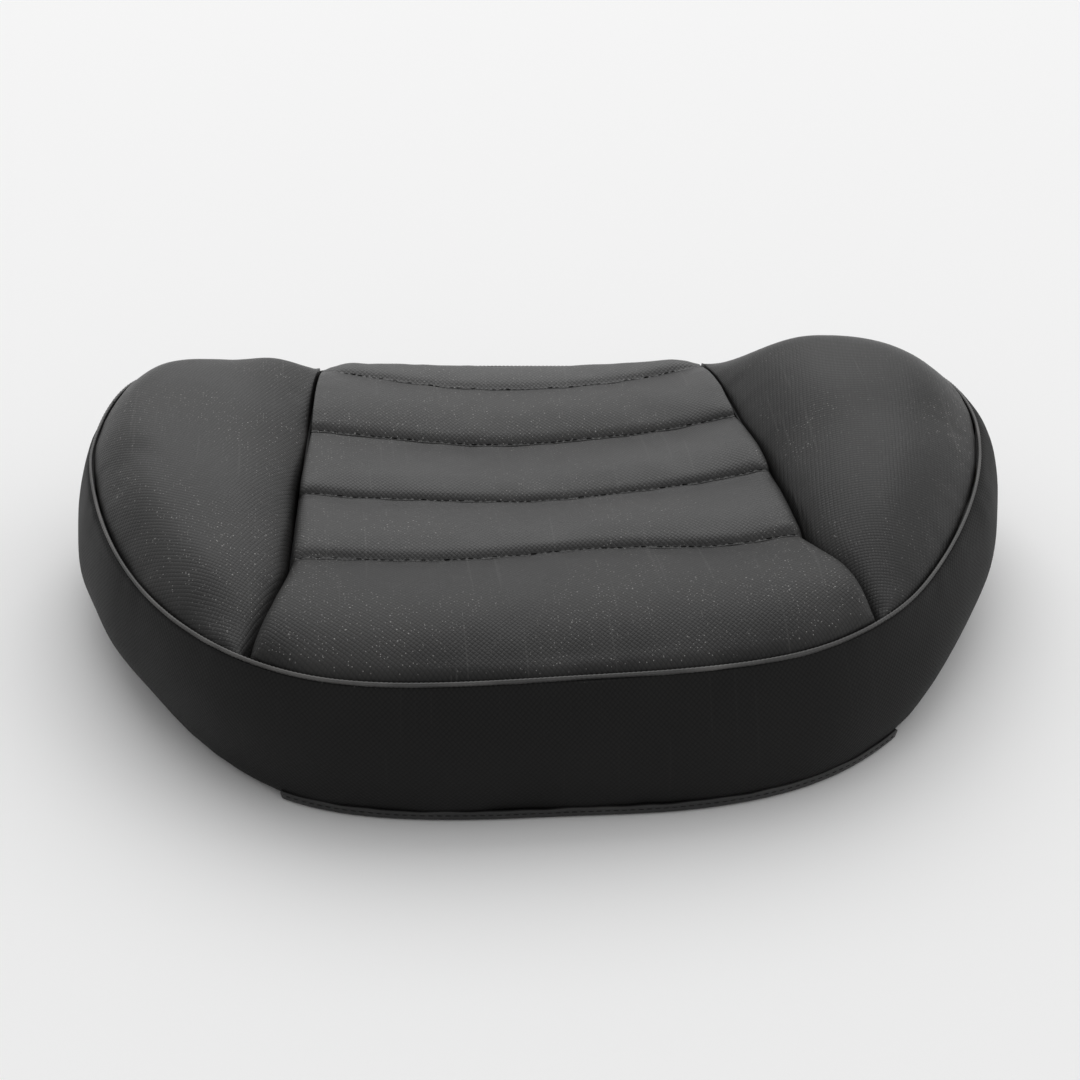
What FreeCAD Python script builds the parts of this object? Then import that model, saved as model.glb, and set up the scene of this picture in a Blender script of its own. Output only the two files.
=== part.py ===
import FreeCAD, Part
import math
import os
import Sketcher
from FreeCAD import Placement, Rotation, Vector

# A wide, dished motorcycle seat: a moulded pan, a foam core, and a sewn cover of five centre
# panels between two bolsters, with a boxing band and a welt round the edge.
# Frame: +Z up, the thigh edge faces -Y, and left and right (+X) are as seen from that edge.
# The origin is under the middle, level with the feet.
# All sizes are in millimetres.

DIMENSIONS = [
    # the edge seam, seen from above, and its height along the seat
    ("seam_half_width", 240.0),
    ("front_reach", 150.0),
    ("rear_reach", 157.0),
    ("front_seam_height", 72.0),
    ("side_seam_height", 82.5),
    ("rear_seam_height", 70.0),
    ("boxing_join_reach", 105.0),
    # the cushion's lean: its left rear corner sits further back than its right one
    ("lean_slope", 0.035),
    ("lean_shift", 5.0),
    ("lean_full_height", 70.0),
    # the cover
    ("skin_thickness", 3.0),
    ("fit_clearance", 0.3),
    ("panel_depth", 20.0),
    ("panel_gap", 1.0),
    ("trench_gap", 3.0),
    ("pleat_crown", 4.0),
    ("front_roll_crown", 9.0),
    ("rear_roll_crown", 5.0),
    ("front_roll_radius", 4000.0),
    ("rear_roll_radius", 1500.0),
    ("welt_height", 3.0),
    ("welt_proud", 1.0),
    ("hem_height", 6.0),
    ("hem_thickness", 1.8),
    ("hem_left_end", 140.0),
    ("hem_right_end", 165.0),
    ("turn_under_width", 22.0),
    ("turn_under_thickness", 2.0),
    ("turn_under_height", 1.0),
    # the pan
    ("pan_inset", 7.0),
    ("pan_ledge_height", 3.3),
    ("pan_ledge_width", 26.0),
    ("pan_wall", 4.0),
    ("pan_rise", 11.0),
    ("rib_thickness", 3.0),
    ("rib_drop", 9.0),
    ("boss_radius", 11.0),
    ("boss_drop", 12.3),
    ("drain_radius", 4.0),
    ("drain_reach", 100.0),
    # fixings
    ("insert_spacing_across", 160.0),
    ("insert_spacing_along", 130.0),
    ("insert_barrel_radius", 5.5),
    ("insert_bore_radius", 3.4),
    ("insert_flange_radius", 11.0),
    ("insert_flange_thickness", 1.5),
    ("bolt_room_height", 34.0),
    ("strap_length", 216.0),
    ("strap_width", 30.0),
    ("strap_thickness", 2.0),
    ("rivet_spacing", 192.0),
    ("rivet_radius", 2.4),
    ("rivet_head_radius", 4.8),
    ("rivet_head_height", 1.4),
    ("bumper_radius", 12.0),
    ("bumper_stem_radius", 4.0),
    ("bumper_spacing_across", 240.0),
    ("bumper_spacing_along", 160.0),
    # the trench ties
    ("tie_wire_radius", 1.0),
    ("hog_ring_radius", 5.0),
    ("hog_ring_wire_radius", 0.8),
    ("hog_ring_drop", 7.0),
    ("tie_groove_width", 14.0),
    ("tie_groove_depth", 14.0),
    ("listing_thickness", 1.0),
    ("listing_top_drop", 6.0),
    # the staples
    ("staple_inset", 14.0),
    ("staple_crown", 10.0),
    ("staple_leg", 4.0),
    ("staple_wire", 0.7),
]

# Seam outline, right half from front to rear: x as a share of the half width, y as a share of
# the front reach where it is negative and of the rear reach where it is positive.
SEAM_OUTLINE = [
    (0.0, -1.0), (0.29, -0.99), (0.50, -0.92), (0.6625, -0.76), (0.8875, -0.267),
    (0.992, 0.25), (0.98, 0.66), (0.8125, 0.95), (0.50, 1.0), (0.25, 1.0), (0.0, 1.0),
]

# How far the seat stands out from the seam outline at each height:
# the height, then the swell at the sides, at the front and at the rear.
SIDE_LEVELS = [
    (0.0, -6.0, 8.0, 3.0),
    (15.0, 6.0, 10.5, 5.0),
    (40.0, 14.0, 11.5, 6.0),
    (62.0, 9.0, 7.0, 4.0),
    (92.0, -4.0, -3.0, -3.0),
    (125.0, -8.0, -6.0, -6.0),
]

# The trench between the centre panels and a bolster, from the front seam to the rear: x, y.
TRENCH_LINE = [(168.0, -175.0), (131.0, -50.0), (110.6, 173.0)]

# Bolster sections from front to rear: y, outer x, trench height, edge height, crown.
BOLSTER_SECTIONS = [
    (-140.0, 176.0, 73.0, 72.5, 1.0), (-80.0, 192.0, 77.0, 74.0, 9.0),
    (-20.0, 224.0, 80.0, 77.5, 17.0), (60.0, 243.0, 81.0, 82.0, 23.0),
    (115.0, 238.0, 80.0, 81.0, 24.0), (145.0, 228.0, 79.0, 76.0, 12.0),
    (175.0, 215.0, 70.0, 70.0, 1.0),
]

# The channel panels from front to rear: label, front edge y and height, rear edge y and height,
# radius of the dish across.
CHANNEL_PANELS = [
    ("front_channel_panel", (-48.0, 75.0), (18.0, 68.0), 900.0),
    ("middle_channel_panel", (18.0, 68.0), (82.0, 66.0), 560.0),
    ("rear_channel_panel", (82.0, 66.0), (138.0, 69.5), 540.0),
]
FRONT_LINE = (-48.0, 75.0)
REAR_LINE = (138.0, 69.5)

WIDE = 700.0
UNDER = -60.0
PROFILE_FLOOR = 25.0
HOG_RING_STATIONS = [-85.0, -40.0, 18.0, 80.0, 130.0]
TIE_STATIONS = [-98.0, -50.0, 20.0, 85.0, 142.0]
STAPLE_COUNT = 46
YZ_TURN = Rotation(Vector(1, 1, 1), 120)
XZ_TURN = Rotation(Vector(1, 0, 0), 90)

doc = FreeCAD.newDocument("motorcycle_seat")
subparts = []


def make_sheet():
    """Write the driving dimensions, one aliased cell each."""
    cells = doc.addObject("Spreadsheet::Sheet", "Dims")
    for row, (alias, value) in enumerate(DIMENSIONS, start=1):
        cells.set(f"A{row}", alias)
        cells.set(f"B{row}", str(value))
        cells.setAlias(f"B{row}", alias)
    doc.recompute()
    return cells


sheet = make_sheet()


def dim(alias):
    """Read one driving dimension for geometry that has no property to bind."""
    return float(sheet.get(alias))


def bind(item, **expressions):
    """Bind the item's properties to the sheet, each given as an expression in its aliases."""
    for name, text in expressions.items():
        item.setExpression(name, text)
    return item


def finish_part(item, label):
    """Name a finished sub-part: its label is its node and its file name."""
    item.Label = label
    subparts.append(item)
    return item


# --- booleans and solids ---------------------------------------------------------------------

def common(name, first, second):
    item = doc.addObject("Part::Common", name)
    item.Base = first
    item.Tool = second
    return item


def cut(name, first, second):
    item = doc.addObject("Part::Cut", name)
    item.Base = first
    item.Tool = second
    return item


def fuse(name, pieces):
    item = doc.addObject("Part::MultiFuse", name)
    item.Shapes = pieces
    return item


def group(name, pieces):
    item = doc.addObject("Part::Compound", name)
    item.Links = pieces
    return item


def box(name, low, high):
    item = doc.addObject("Part::Box", name)
    item.Length = high[0] - low[0]
    item.Width = high[1] - low[1]
    item.Height = high[2] - low[2]
    item.Placement.Base = Vector(*low)
    return item


def cylinder(name, radius, height, base_x, base_y, base_z):
    """An upright cylinder; every size is an expression in the sheet's aliases."""
    item = doc.addObject("Part::Cylinder", name)
    bind(item, Radius=radius, Height=height)
    item.setExpression("Placement.Base.x", base_x)
    item.setExpression("Placement.Base.y", base_y)
    item.setExpression("Placement.Base.z", base_z)
    return item


def extrusion(name, sketch, direction, length, symmetric=False):
    item = doc.addObject("Part::Extrusion", name)
    item.Base = sketch
    item.DirMode = "Custom"
    item.Dir = Vector(*direction)
    item.LengthFwd = length
    item.Solid = True
    item.Symmetric = symmetric
    return item


def free_sketch(name, placement, geometry):
    """A sketch that stands on its own, outside any body."""
    sketch = doc.addObject("Sketcher::SketchObject", name)
    sketch.Placement = placement
    for curve in geometry:
        sketch.addGeometry(curve, False)
    return sketch


def closed_lines(points):
    corners = [Vector(x, y, 0) for x, y in points]
    return [Part.LineSegment(a, b) for a, b in zip(corners, corners[1:] + corners[:1])]


# --- outlines and the seat's outer form ------------------------------------------------------

def seam_points(start="front"):
    """The whole seam outline, counter-clockwise from the front or the rear centre."""
    half = []
    for share_x, share_y in SEAM_OUTLINE:
        reach = dim("front_reach") if share_y < 0 else dim("rear_reach")
        half.append(Vector(share_x * dim("seam_half_width"), share_y * reach, 0))
    mirrored = [Vector(-p.x, p.y, 0) for p in half[-2:0:-1]]
    points = half + mirrored
    first = len(half) - 1 if start == "rear" else 0
    return points[first:] + points[:first]


def closed_curve(points):
    curve = Part.BSplineCurve()
    curve.interpolate(points, PeriodicFlag=True)
    return curve


def ease(low, high, value):
    """Rise smoothly from 0 at low to 1 at high."""
    share = min(1.0, max(0.0, (value - low) / (high - low)))
    return share * share * (3 - 2 * share)


def leaned(point, height):
    """A point of an outline where the cushion's lean puts it. The flat pan stays square."""
    share = min(1.0, height / dim("lean_full_height"))
    shift = dim("lean_shift") * ease(110, 230, abs(point.x)) * ease(-90, 60, point.y)
    slide = dim("lean_slope") * point.x * ease(30, 150, point.y)
    return Vector(point.x + share * shift, point.y - share * slide, 0)


def outline(side, front, rear, height, start="front"):
    """The seam outline moved outward, and leaned as it is at that height.

    The swell is side across the seat, and front and rear along it."""
    points = seam_points(start)
    seam = closed_curve(points)
    moved = []
    for point in points:
        tangent = seam.tangent(seam.parameter(point))[0]
        normal = Vector(tangent.y, -tangent.x, 0)
        along = front if normal.y < 0 else rear
        swollen = point + normal * (side * normal.x ** 2 + along * normal.y ** 2)
        moved.append(leaned(swollen, height))
    return closed_curve(moved)


def level_outline(level, offset, start="front"):
    height, side, front, rear = level
    return outline(side + offset, front + offset, rear + offset, height, start), height


def seat_form(name, offset, start="front"):
    """The seat's outer side wall as a solid, moved outward by offset.

    Its closed curves start at the front or the rear, away from where the form is cut."""
    sections = []
    for number, level in enumerate(SIDE_LEVELS):
        curve, height = level_outline(level, offset, start)
        place = Placement(Vector(0, 0, height), Rotation())
        sections.append(free_sketch(f"{name}Level{number}", place, [curve]))
    loft = doc.addObject("Part::Loft", name)
    loft.Sections = sections
    loft.Solid = True
    loft.Ruled = False
    return loft


def seam_height_points(drop):
    front = dim("front_seam_height")
    side = dim("side_seam_height")
    rear = dim("rear_seam_height")
    heights = [(-200, front), (-110, front + 1), (-40, front + 4.5), (20, side - 2.5),
               (75, side), (105, side - 0.5), (135, side - 4.5), (165, rear), (200, rear - 8)]
    return [Vector(y, z - drop, 0) for y, z in heights]


def below_seam(name, drop):
    """All the space lower than drop under the seam's height line."""
    points = seam_height_points(drop)
    top = Part.BSplineCurve()
    top.interpolate(points)
    low_front = Vector(points[0].x, UNDER, 0)
    low_rear = Vector(points[-1].x, UNDER, 0)
    sides = [Part.LineSegment(points[-1], low_rear), Part.LineSegment(low_rear, low_front),
             Part.LineSegment(low_front, points[0])]
    sketch = free_sketch(f"{name}Profile", Placement(Vector(), YZ_TURN), [top] + sides)
    return extrusion(name, sketch, (1, 0, 0), WIDE, symmetric=True)


def trench_points(side, shift):
    """The trench line on one side, moved outward by shift."""
    return [(side * (x + shift), y) for x, y in TRENCH_LINE]


def seam_height_at(reach):
    """The seam's height at one y, from its height line."""
    curve = Part.BSplineCurve()
    curve.interpolate(seam_height_points(0))
    line = Part.LineSegment(Vector(reach, UNDER, 0), Vector(reach, WIDE, 0))
    return curve.intersect(line)[0].Y


# --- shared forms ----------------------------------------------------------------------------

core_form = seat_form("CoreForm", -dim("skin_thickness") - dim("fit_clearance"))
panel_floor = below_seam("PanelFloor", dim("panel_depth") - dim("fit_clearance"))


# --- the pan ---------------------------------------------------------------------------------

def pan_block(name, extra_inset, low, height):
    """A flat block with the pan's outline, inset further by extra_inset."""
    inset = dim("pan_inset") + extra_inset
    level = SIDE_LEVELS[0]
    curve, _ = level_outline(level, -inset)
    sketch = free_sketch(f"{name}Outline", Placement(Vector(0, 0, low), Rotation()), [curve])
    return extrusion(name, sketch, (0, 0, 1), height)


def make_pan_ribs(hollow, roof, bosses):
    """Four ribs under the pan's floor that run from wall to wall through the bosses."""
    half = dim("rib_thickness") / 2
    low = roof - dim("rib_drop")
    across = dim("insert_spacing_across") / 2
    along = dim("insert_spacing_along") / 2
    ribs = []
    for number, y in enumerate((-along, along)):
        ribs.append(box(f"RibAcross{number}", (-WIDE / 2, y - half, low), (WIDE / 2, y + half, roof)))
    for number, x in enumerate((-across, across)):
        ribs.append(box(f"RibAlong{number}", (x - half, -WIDE / 2, low), (x + half, WIDE / 2, roof)))
    grid = common("RibGrid", fuse("Ribs", ribs), hollow)
    finish_part(cut("PanRibs", grid, fuse("RibClearance", bosses)), "pan_ribs")


def corners(across_alias, along_alias):
    """The four corners of a fixing pattern as pairs of expressions."""
    return [(f"{sx} * Dims.{across_alias} / 2", f"{sy} * Dims.{along_alias} / 2")
            for sx in (-1, 1) for sy in (-1, 1)]


def pan_holes():
    """Every hole through the pan's floor: inserts, bumper stems, rivets and drains."""
    holes = []
    through = "Dims.boss_drop + 3 * Dims.pan_wall"
    start = "-Dims.pan_wall"
    for x, y in corners("insert_spacing_across", "insert_spacing_along"):
        radius = "Dims.insert_barrel_radius + 0.1"
        holes.append(cylinder(f"InsertHole{len(holes)}", radius, through, x, y, start))
    for x, y in corners("bumper_spacing_across", "bumper_spacing_along"):
        radius = "Dims.bumper_stem_radius + 0.1"
        holes.append(cylinder(f"StemHole{len(holes)}", radius, through, x, y, start))
    for x, y in corners("rivet_spacing", "insert_spacing_along"):
        radius = "Dims.rivet_radius + 0.1"
        holes.append(cylinder(f"RivetHole{len(holes)}", radius, through, x, y, start))
    for x in ("-Dims.drain_reach / 3", "Dims.drain_reach / 3"):
        for y in ("-Dims.drain_reach", "Dims.drain_reach"):
            holes.append(cylinder(f"Drain{len(holes)}", "Dims.drain_radius", through, x, y, start))
    return fuse("PanHoles", holes)


def make_pan():
    """A moulded tray: a raised floor with four bosses, a stapling rim round it, and ribs below."""
    low = dim("pan_ledge_height")
    wall = dim("pan_wall")
    rise = dim("pan_rise")
    width = dim("pan_ledge_width")
    roof = low + rise
    ledge = pan_block("PanLedge", 0.0, low, wall)
    raised = pan_block("PanRaised", width, low, wall + rise)
    inner = pan_block("PanInner", width + wall, low, wall + rise)
    finish_part(cut("PanRim", fuse("PanBlocks", [ledge, raised]), inner), "pan_rim")
    floor = pan_block("PanFloor", width + wall, roof, wall)
    bosses = []
    for number, (x, y) in enumerate(corners("insert_spacing_across", "insert_spacing_along")):
        base = "Dims.pan_ledge_height + Dims.pan_rise - Dims.boss_drop"
        height = "Dims.boss_drop + 1"
        bosses.append(cylinder(f"Boss{number}", "Dims.boss_radius", height, x, y, base))
    finish_part(cut("Pan", fuse("PanSolid", [floor] + bosses), pan_holes()), "seat_pan")
    make_pan_ribs(cut("PanHollow", inner, floor), roof, bosses)
    return raised


# --- foam ------------------------------------------------------------------------------------

def groove_block(side):
    """The slot in the foam along one trench, where the cover's ties lie."""
    half = dim("tie_groove_width") / 2
    inner = trench_points(side, -half)
    points = inner + trench_points(side, half)[::-1]
    name = "RightGroove" if side > 0 else "LeftGroove"
    sketch = free_sketch(f"{name}Outline", Placement(), closed_lines(points))
    return extrusion(f"{name}Prism", sketch, (0, 0, 1), WIDE)


def hardware_room():
    """Room above the pan's floor for the straps, insert flanges and bolt ends."""
    top = "Dims.pan_ledge_height + Dims.pan_wall + Dims.pan_rise"
    rooms = []
    for number, direction in enumerate((-1, 1)):
        room = doc.addObject("Part::Box", f"StrapRoom{number}")
        bind(room, Length="Dims.strap_length + 2", Width="Dims.strap_width + 2",
             Height="Dims.strap_thickness + Dims.insert_flange_thickness + 1")
        room.setExpression("Placement.Base.x", "-Dims.strap_length / 2 - 1")
        room.setExpression("Placement.Base.y", f"{direction} * Dims.insert_spacing_along / 2"
                                               " - Dims.strap_width / 2 - 1")
        room.setExpression("Placement.Base.z", top)
        rooms.append(room)
    for number, (x, y) in enumerate(corners("insert_spacing_across", "insert_spacing_along")):
        height = "Dims.bolt_room_height - 10"
        rooms.append(cylinder(f"BoltRoom{number}", "Dims.insert_barrel_radius", height, x, y, "10"))
    return rooms


def make_foam(pan_raised):
    """One moulded block that fills the cover, seated over the pan's raised floor."""
    foam_top = below_seam("FoamTop", dim("panel_depth"))
    foam_block = common("FoamBlock", core_form, foam_top)
    ledge_top = dim("pan_ledge_height") + dim("pan_wall") + dim("fit_clearance")
    base = box("FoamBase", (-WIDE / 2, -WIDE / 2, UNDER), (WIDE / 2, WIDE / 2, ledge_top))
    clearance = dim("fit_clearance")
    pan_room = pan_block("PanRoom", dim("pan_ledge_width") - clearance, dim("pan_ledge_height"),
                         dim("pan_wall") + dim("pan_rise") + clearance)
    groove_floor = below_seam("GrooveFloor", dim("panel_depth") + dim("tie_groove_depth"))
    grooves = fuse("GroovePrisms", [groove_block(1), groove_block(-1)])
    groove_space = cut("GrooveSpace", grooves, groove_floor)
    tools = fuse("FoamRooms", [base, pan_room, groove_space] + hardware_room())
    finish_part(cut("Foam", foam_block, tools), "foam_core")


# --- the cover's top panels ------------------------------------------------------------------

def centre_prism():
    """The plan shape between the two trenches, as a tall block."""
    shift = -dim("trench_gap") / 2
    points = trench_points(1, shift) + trench_points(-1, shift)[::-1]
    sketch = free_sketch("CentreOutline", Placement(), closed_lines(points))
    return extrusion("CentrePrism", sketch, (0, 0, 1), WIDE)


def panel_profile(name, front, rear, crown):
    """The side view of one centre panel: flat underneath and crowned on top."""
    gap = dim("panel_gap") / 2
    start = Vector(front[0] + gap, front[1], 0)
    end = Vector(rear[0] - gap, rear[1], 0)
    middle = (start + end) * 0.5 + Vector(0, crown, 0)
    floor_end = Vector(end.x, PROFILE_FLOOR, 0)
    floor_start = Vector(start.x, PROFILE_FLOOR, 0)
    geometry = [Part.Arc(start, middle, end), Part.LineSegment(end, floor_end),
                Part.LineSegment(floor_end, floor_start), Part.LineSegment(floor_start, start)]
    return free_sketch(f"{name}Profile", Placement(Vector(), YZ_TURN), geometry)


def dished_panel(label, profile, radius, low_point, prism, form=None):
    """Turn a profile about a high axis, so that it dishes across, and trim it to its space."""
    turned = doc.addObject("Part::Revolution", f"{label}_turned")
    turned.Source = profile
    turned.Axis = Vector(0, 1, 0)
    turned.Base = Vector(0, 0, low_point + radius)
    turned.Angle = 2 * math.degrees(math.asin(1.5 * TRENCH_LINE[1][0] / radius))
    turned.Symmetric = True
    turned.Solid = True
    solid = cut(f"{label}_floored", common(f"{label}_trimmed", turned, prism), panel_floor)
    if form:
        solid = common(f"{label}_edged", solid, form)
    finish_part(solid, label)


def make_centre_panels():
    """The front roll, three channel panels and the rear roll."""
    prism = centre_prism()
    crown = dim("pleat_crown")
    for label, front, rear, radius in CHANNEL_PANELS:
        profile = panel_profile(label, front, rear, crown)
        dished_panel(label, profile, radius, rear[1], prism)
    front_edge = (-dim("front_reach") - 2, dim("front_seam_height"))
    profile = panel_profile("front_roll", front_edge, FRONT_LINE, dim("front_roll_crown"))
    radius = dim("front_roll_radius")
    dished_panel("front_roll_panel", profile, radius, front_edge[1], prism, core_form)
    rear_edge = (dim("rear_reach") + 2, dim("rear_seam_height"))
    profile = panel_profile("rear_roll", REAR_LINE, rear_edge, dim("rear_roll_crown"))
    radius = dim("rear_roll_radius")
    dished_panel("rear_roll_panel", profile, radius, REAR_LINE[1], prism, core_form)


def bolster_section(number, section):
    """One cross-section of the right bolster, seen from the front."""
    reach, outer, trench_height, edge_height, crown = section
    inner = TRENCH_LINE[2][0] - dim("trench_gap")
    start = Vector(inner, trench_height, 0)
    end = Vector(outer, edge_height, 0)
    middle = (start + end) * 0.5 + Vector(0, crown, 0)
    floor_end = Vector(outer, PROFILE_FLOOR, 0)
    floor_start = Vector(inner, PROFILE_FLOOR, 0)
    geometry = [Part.Arc(start, middle, end), Part.LineSegment(end, floor_end),
                Part.LineSegment(floor_end, floor_start), Part.LineSegment(floor_start, start)]
    return free_sketch(f"BolsterSection{number}", Placement(Vector(0, reach, 0), XZ_TURN), geometry)


def make_bolsters():
    """The two raised side cushions, from the front seam to the rear corners."""
    right_crest = doc.addObject("Part::Loft", "BolsterCrest")
    right_crest.Sections = [bolster_section(n, s) for n, s in enumerate(BOLSTER_SECTIONS)]
    right_crest.Solid = True
    left_crest = doc.addObject("Part::Mirroring", "LeftBolsterCrest")
    left_crest.Source = right_crest
    left_crest.Normal = Vector(1, 0, 0)
    shift = dim("trench_gap") / 2
    for side, name, crest in ((1, "right", right_crest), (-1, "left", left_crest)):
        far = (side * WIDE / 2, TRENCH_LINE[-1][1])
        near = (side * WIDE / 2, TRENCH_LINE[0][1])
        points = trench_points(side, shift) + [far, near]
        sketch = free_sketch(f"{name}_bolster_outline", Placement(), closed_lines(points))
        prism = extrusion(f"{name}_bolster_prism", sketch, (0, 0, 1), WIDE)
        plan = common(f"{name}_bolster_plan", prism, core_form)
        space = cut(f"{name}_bolster_space", plan, panel_floor)
        finish_part(common(f"{name}_bolster_solid", crest, space), f"{name}_bolster")


# --- the cover's sides and edges -------------------------------------------------------------

def wall_between(name, outer_offset, inner_offset, region, start="rear"):
    """The part of a wall, between two offsets of the seat's form, that lies in one region."""
    outer = seat_form(f"{name}_outer", outer_offset, start)
    inner = seat_form(f"{name}_inner", inner_offset, start)
    return cut(f"{name}_wall", common(f"{name}_block", outer, region), inner)


def halves_at_join():
    """The space in front of the join in the boxing and the space behind it.

    Each comes with a name, and with the end of the seat where its forms' curves start."""
    join = dim("boxing_join_reach")
    gap = dim("fit_clearance") / 2
    front = box("FrontHalf", (-WIDE / 2, -WIDE / 2, UNDER), (WIDE / 2, join - gap, WIDE))
    rear = box("RearHalf", (-WIDE / 2, join + gap, UNDER), (WIDE / 2, WIDE / 2, WIDE))
    return [("front", front, "rear"), ("rear", rear, "front")]


def make_boxing(halves):
    """The side band, from the floor up to the welt, in a front and a rear length."""
    top = below_seam("BoxingTop", dim("welt_height") / 2 + 0.2)
    for name, half, start in halves:
        wall = wall_between(f"{name}_boxing", 0.0, -dim("skin_thickness"), half, start)
        finish_part(common(f"{name}_boxing_solid", wall, top), f"{name}_boxing")


def make_welt(halves):
    """The raised edge seam between the top panels and the boxing."""
    outer = dim("welt_proud")
    inner = -dim("skin_thickness") + 2 * dim("fit_clearance")
    half_height = dim("welt_height") / 2
    top = below_seam("WeltTop", -half_height)
    floor = below_seam("WeltFloor", half_height)
    band = cut("WeltBand", top, floor)
    for name, half, start in halves:
        wall = wall_between(f"{name}_welt", outer, inner, half, start)
        finish_part(common(f"{name}_welt_solid", wall, band), f"{name}_welt")


def make_front_hem():
    """The stitched hem strip along the lower front edge, cut off square at both ends."""
    gap = dim("fit_clearance") / 2
    low = (-dim("hem_left_end"), -WIDE / 2, 0.0)
    high = (dim("hem_right_end"), -dim("boxing_join_reach") / 2, dim("hem_height"))
    length = box("HemLength", low, high)
    strip = wall_between("front_hem", gap + dim("hem_thickness"), gap, length)
    finish_part(strip, "front_hem_strip")


def make_turn_under():
    """The cover's edge, turned in under the pan's ledge."""
    outer = dim("skin_thickness") + dim("fit_clearance")
    inner = outer + dim("turn_under_width")
    low = dim("turn_under_height")
    high = low + dim("turn_under_thickness")
    slab = box("TurnUnderSlab", (-WIDE / 2, -WIDE / 2, low), (WIDE / 2, WIDE / 2, high))
    finish_part(wall_between("turn_under", -outer, -inner, slab), "cover_turn_under")


# --- ties in the trenches --------------------------------------------------------------------

def trench_x(reach):
    """The trench's distance from the centre line at one y."""
    for (x0, y0), (x1, y1) in zip(TRENCH_LINE, TRENCH_LINE[1:]):
        if y0 <= reach <= y1:
            return x0 + (x1 - x0) * (reach - y0) / (y1 - y0)
    raise ValueError("outside the trench")


def tie_point(side, reach, drop):
    height = seam_height_at(reach) - dim("panel_depth") - drop
    return Vector(side * trench_x(reach), reach, height)


def rounded_path(points):
    """Straight runs joined by tangent arcs."""
    edges = []
    start = points[0]
    for before, corner, after in zip(points, points[1:], points[2:]):
        back = (before - corner).normalize()
        ahead = (after - corner).normalize()
        reach = 0.45 * min((before - corner).Length, (after - corner).Length)
        half_angle = back.getAngle(ahead) / 2
        arc_start = corner + back * reach
        arc_end = corner + ahead * reach
        radius = reach * math.tan(half_angle)
        depth = radius / math.sin(half_angle) - radius
        middle = corner + (back + ahead).normalize() * depth
        edges.append(Part.LineSegment(start, arc_start).toShape())
        edges.append(Part.Arc(arc_start, middle, arc_end).toShape())
        start = arc_end
    edges.append(Part.LineSegment(start, points[-1]).toShape())
    return Part.Wire(edges)


def tie_wire(label, side, drop):
    """A steel wire that lies along one trench, drop below the foam's top."""
    points = [tie_point(side, reach, drop) for reach in TIE_STATIONS]
    path = rounded_path(points)
    direction = points[1] - points[0]
    profile = Part.Wire(Part.makeCircle(dim("tie_wire_radius"), points[0], direction))
    wire = doc.addObject("Part::Feature", label)
    wire.Shape = path.makePipeShell([profile], True, True)
    finish_part(wire, label)


def make_tie_wires():
    """A wire in the cover's listing and one moulded into the foam, for each trench."""
    inside = dim("hog_ring_radius") - dim("hog_ring_wire_radius") - dim("tie_wire_radius")
    for side, name in ((-1, "left"), (1, "right")):
        tie_wire(f"{name}_listing_wire", side, dim("hog_ring_drop") - inside)
        tie_wire(f"{name}_anchor_wire", side, dim("hog_ring_drop") + inside)


def make_listings():
    """The fabric strips that hang from the trench seams down to the listing wires."""
    half = dim("listing_thickness") / 2
    top = below_seam("ListingTop", dim("listing_top_drop"))
    floor = below_seam("ListingFloor", dim("panel_depth") + 1.0)
    band = cut("ListingBand", top, floor)
    reach = box("ListingReach", (-WIDE / 2, TIE_STATIONS[0], 0), (WIDE / 2, TIE_STATIONS[-1], WIDE))
    limits = common("ListingLimits", band, reach)
    for side, name in ((-1, "left"), (1, "right")):
        points = trench_points(side, -half) + trench_points(side, half)[::-1]
        sketch = free_sketch(f"{name}ListingOutline", Placement(), closed_lines(points))
        strip = extrusion(f"{name}ListingPrism", sketch, (0, 0, 1), WIDE)
        finish_part(common(f"{name}Listing", strip, limits), f"{name}_trench_listing")


def make_hog_rings():
    """Open rings that close round the two wires in each trench."""
    rings = []
    for side in (-1, 1):
        for reach in HOG_RING_STATIONS:
            ring = doc.addObject("Part::Torus", f"HogRing{len(rings)}")
            bind(ring, Radius1="Dims.hog_ring_radius", Radius2="Dims.hog_ring_wire_radius")
            ring.Angle3 = 325
            ring.Placement = Placement(tie_point(side, reach, dim("hog_ring_drop")), XZ_TURN)
            rings.append(ring)
    finish_part(group("HogRings", rings), "hog_rings")


# --- fixings ---------------------------------------------------------------------------------

PAN_TOP = "Dims.pan_ledge_height + Dims.pan_rise + Dims.pan_wall"
PAN_ROOF = "Dims.pan_ledge_height + Dims.pan_rise"
STRAP_TOP = f"{PAN_TOP} + Dims.strap_thickness"


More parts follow.
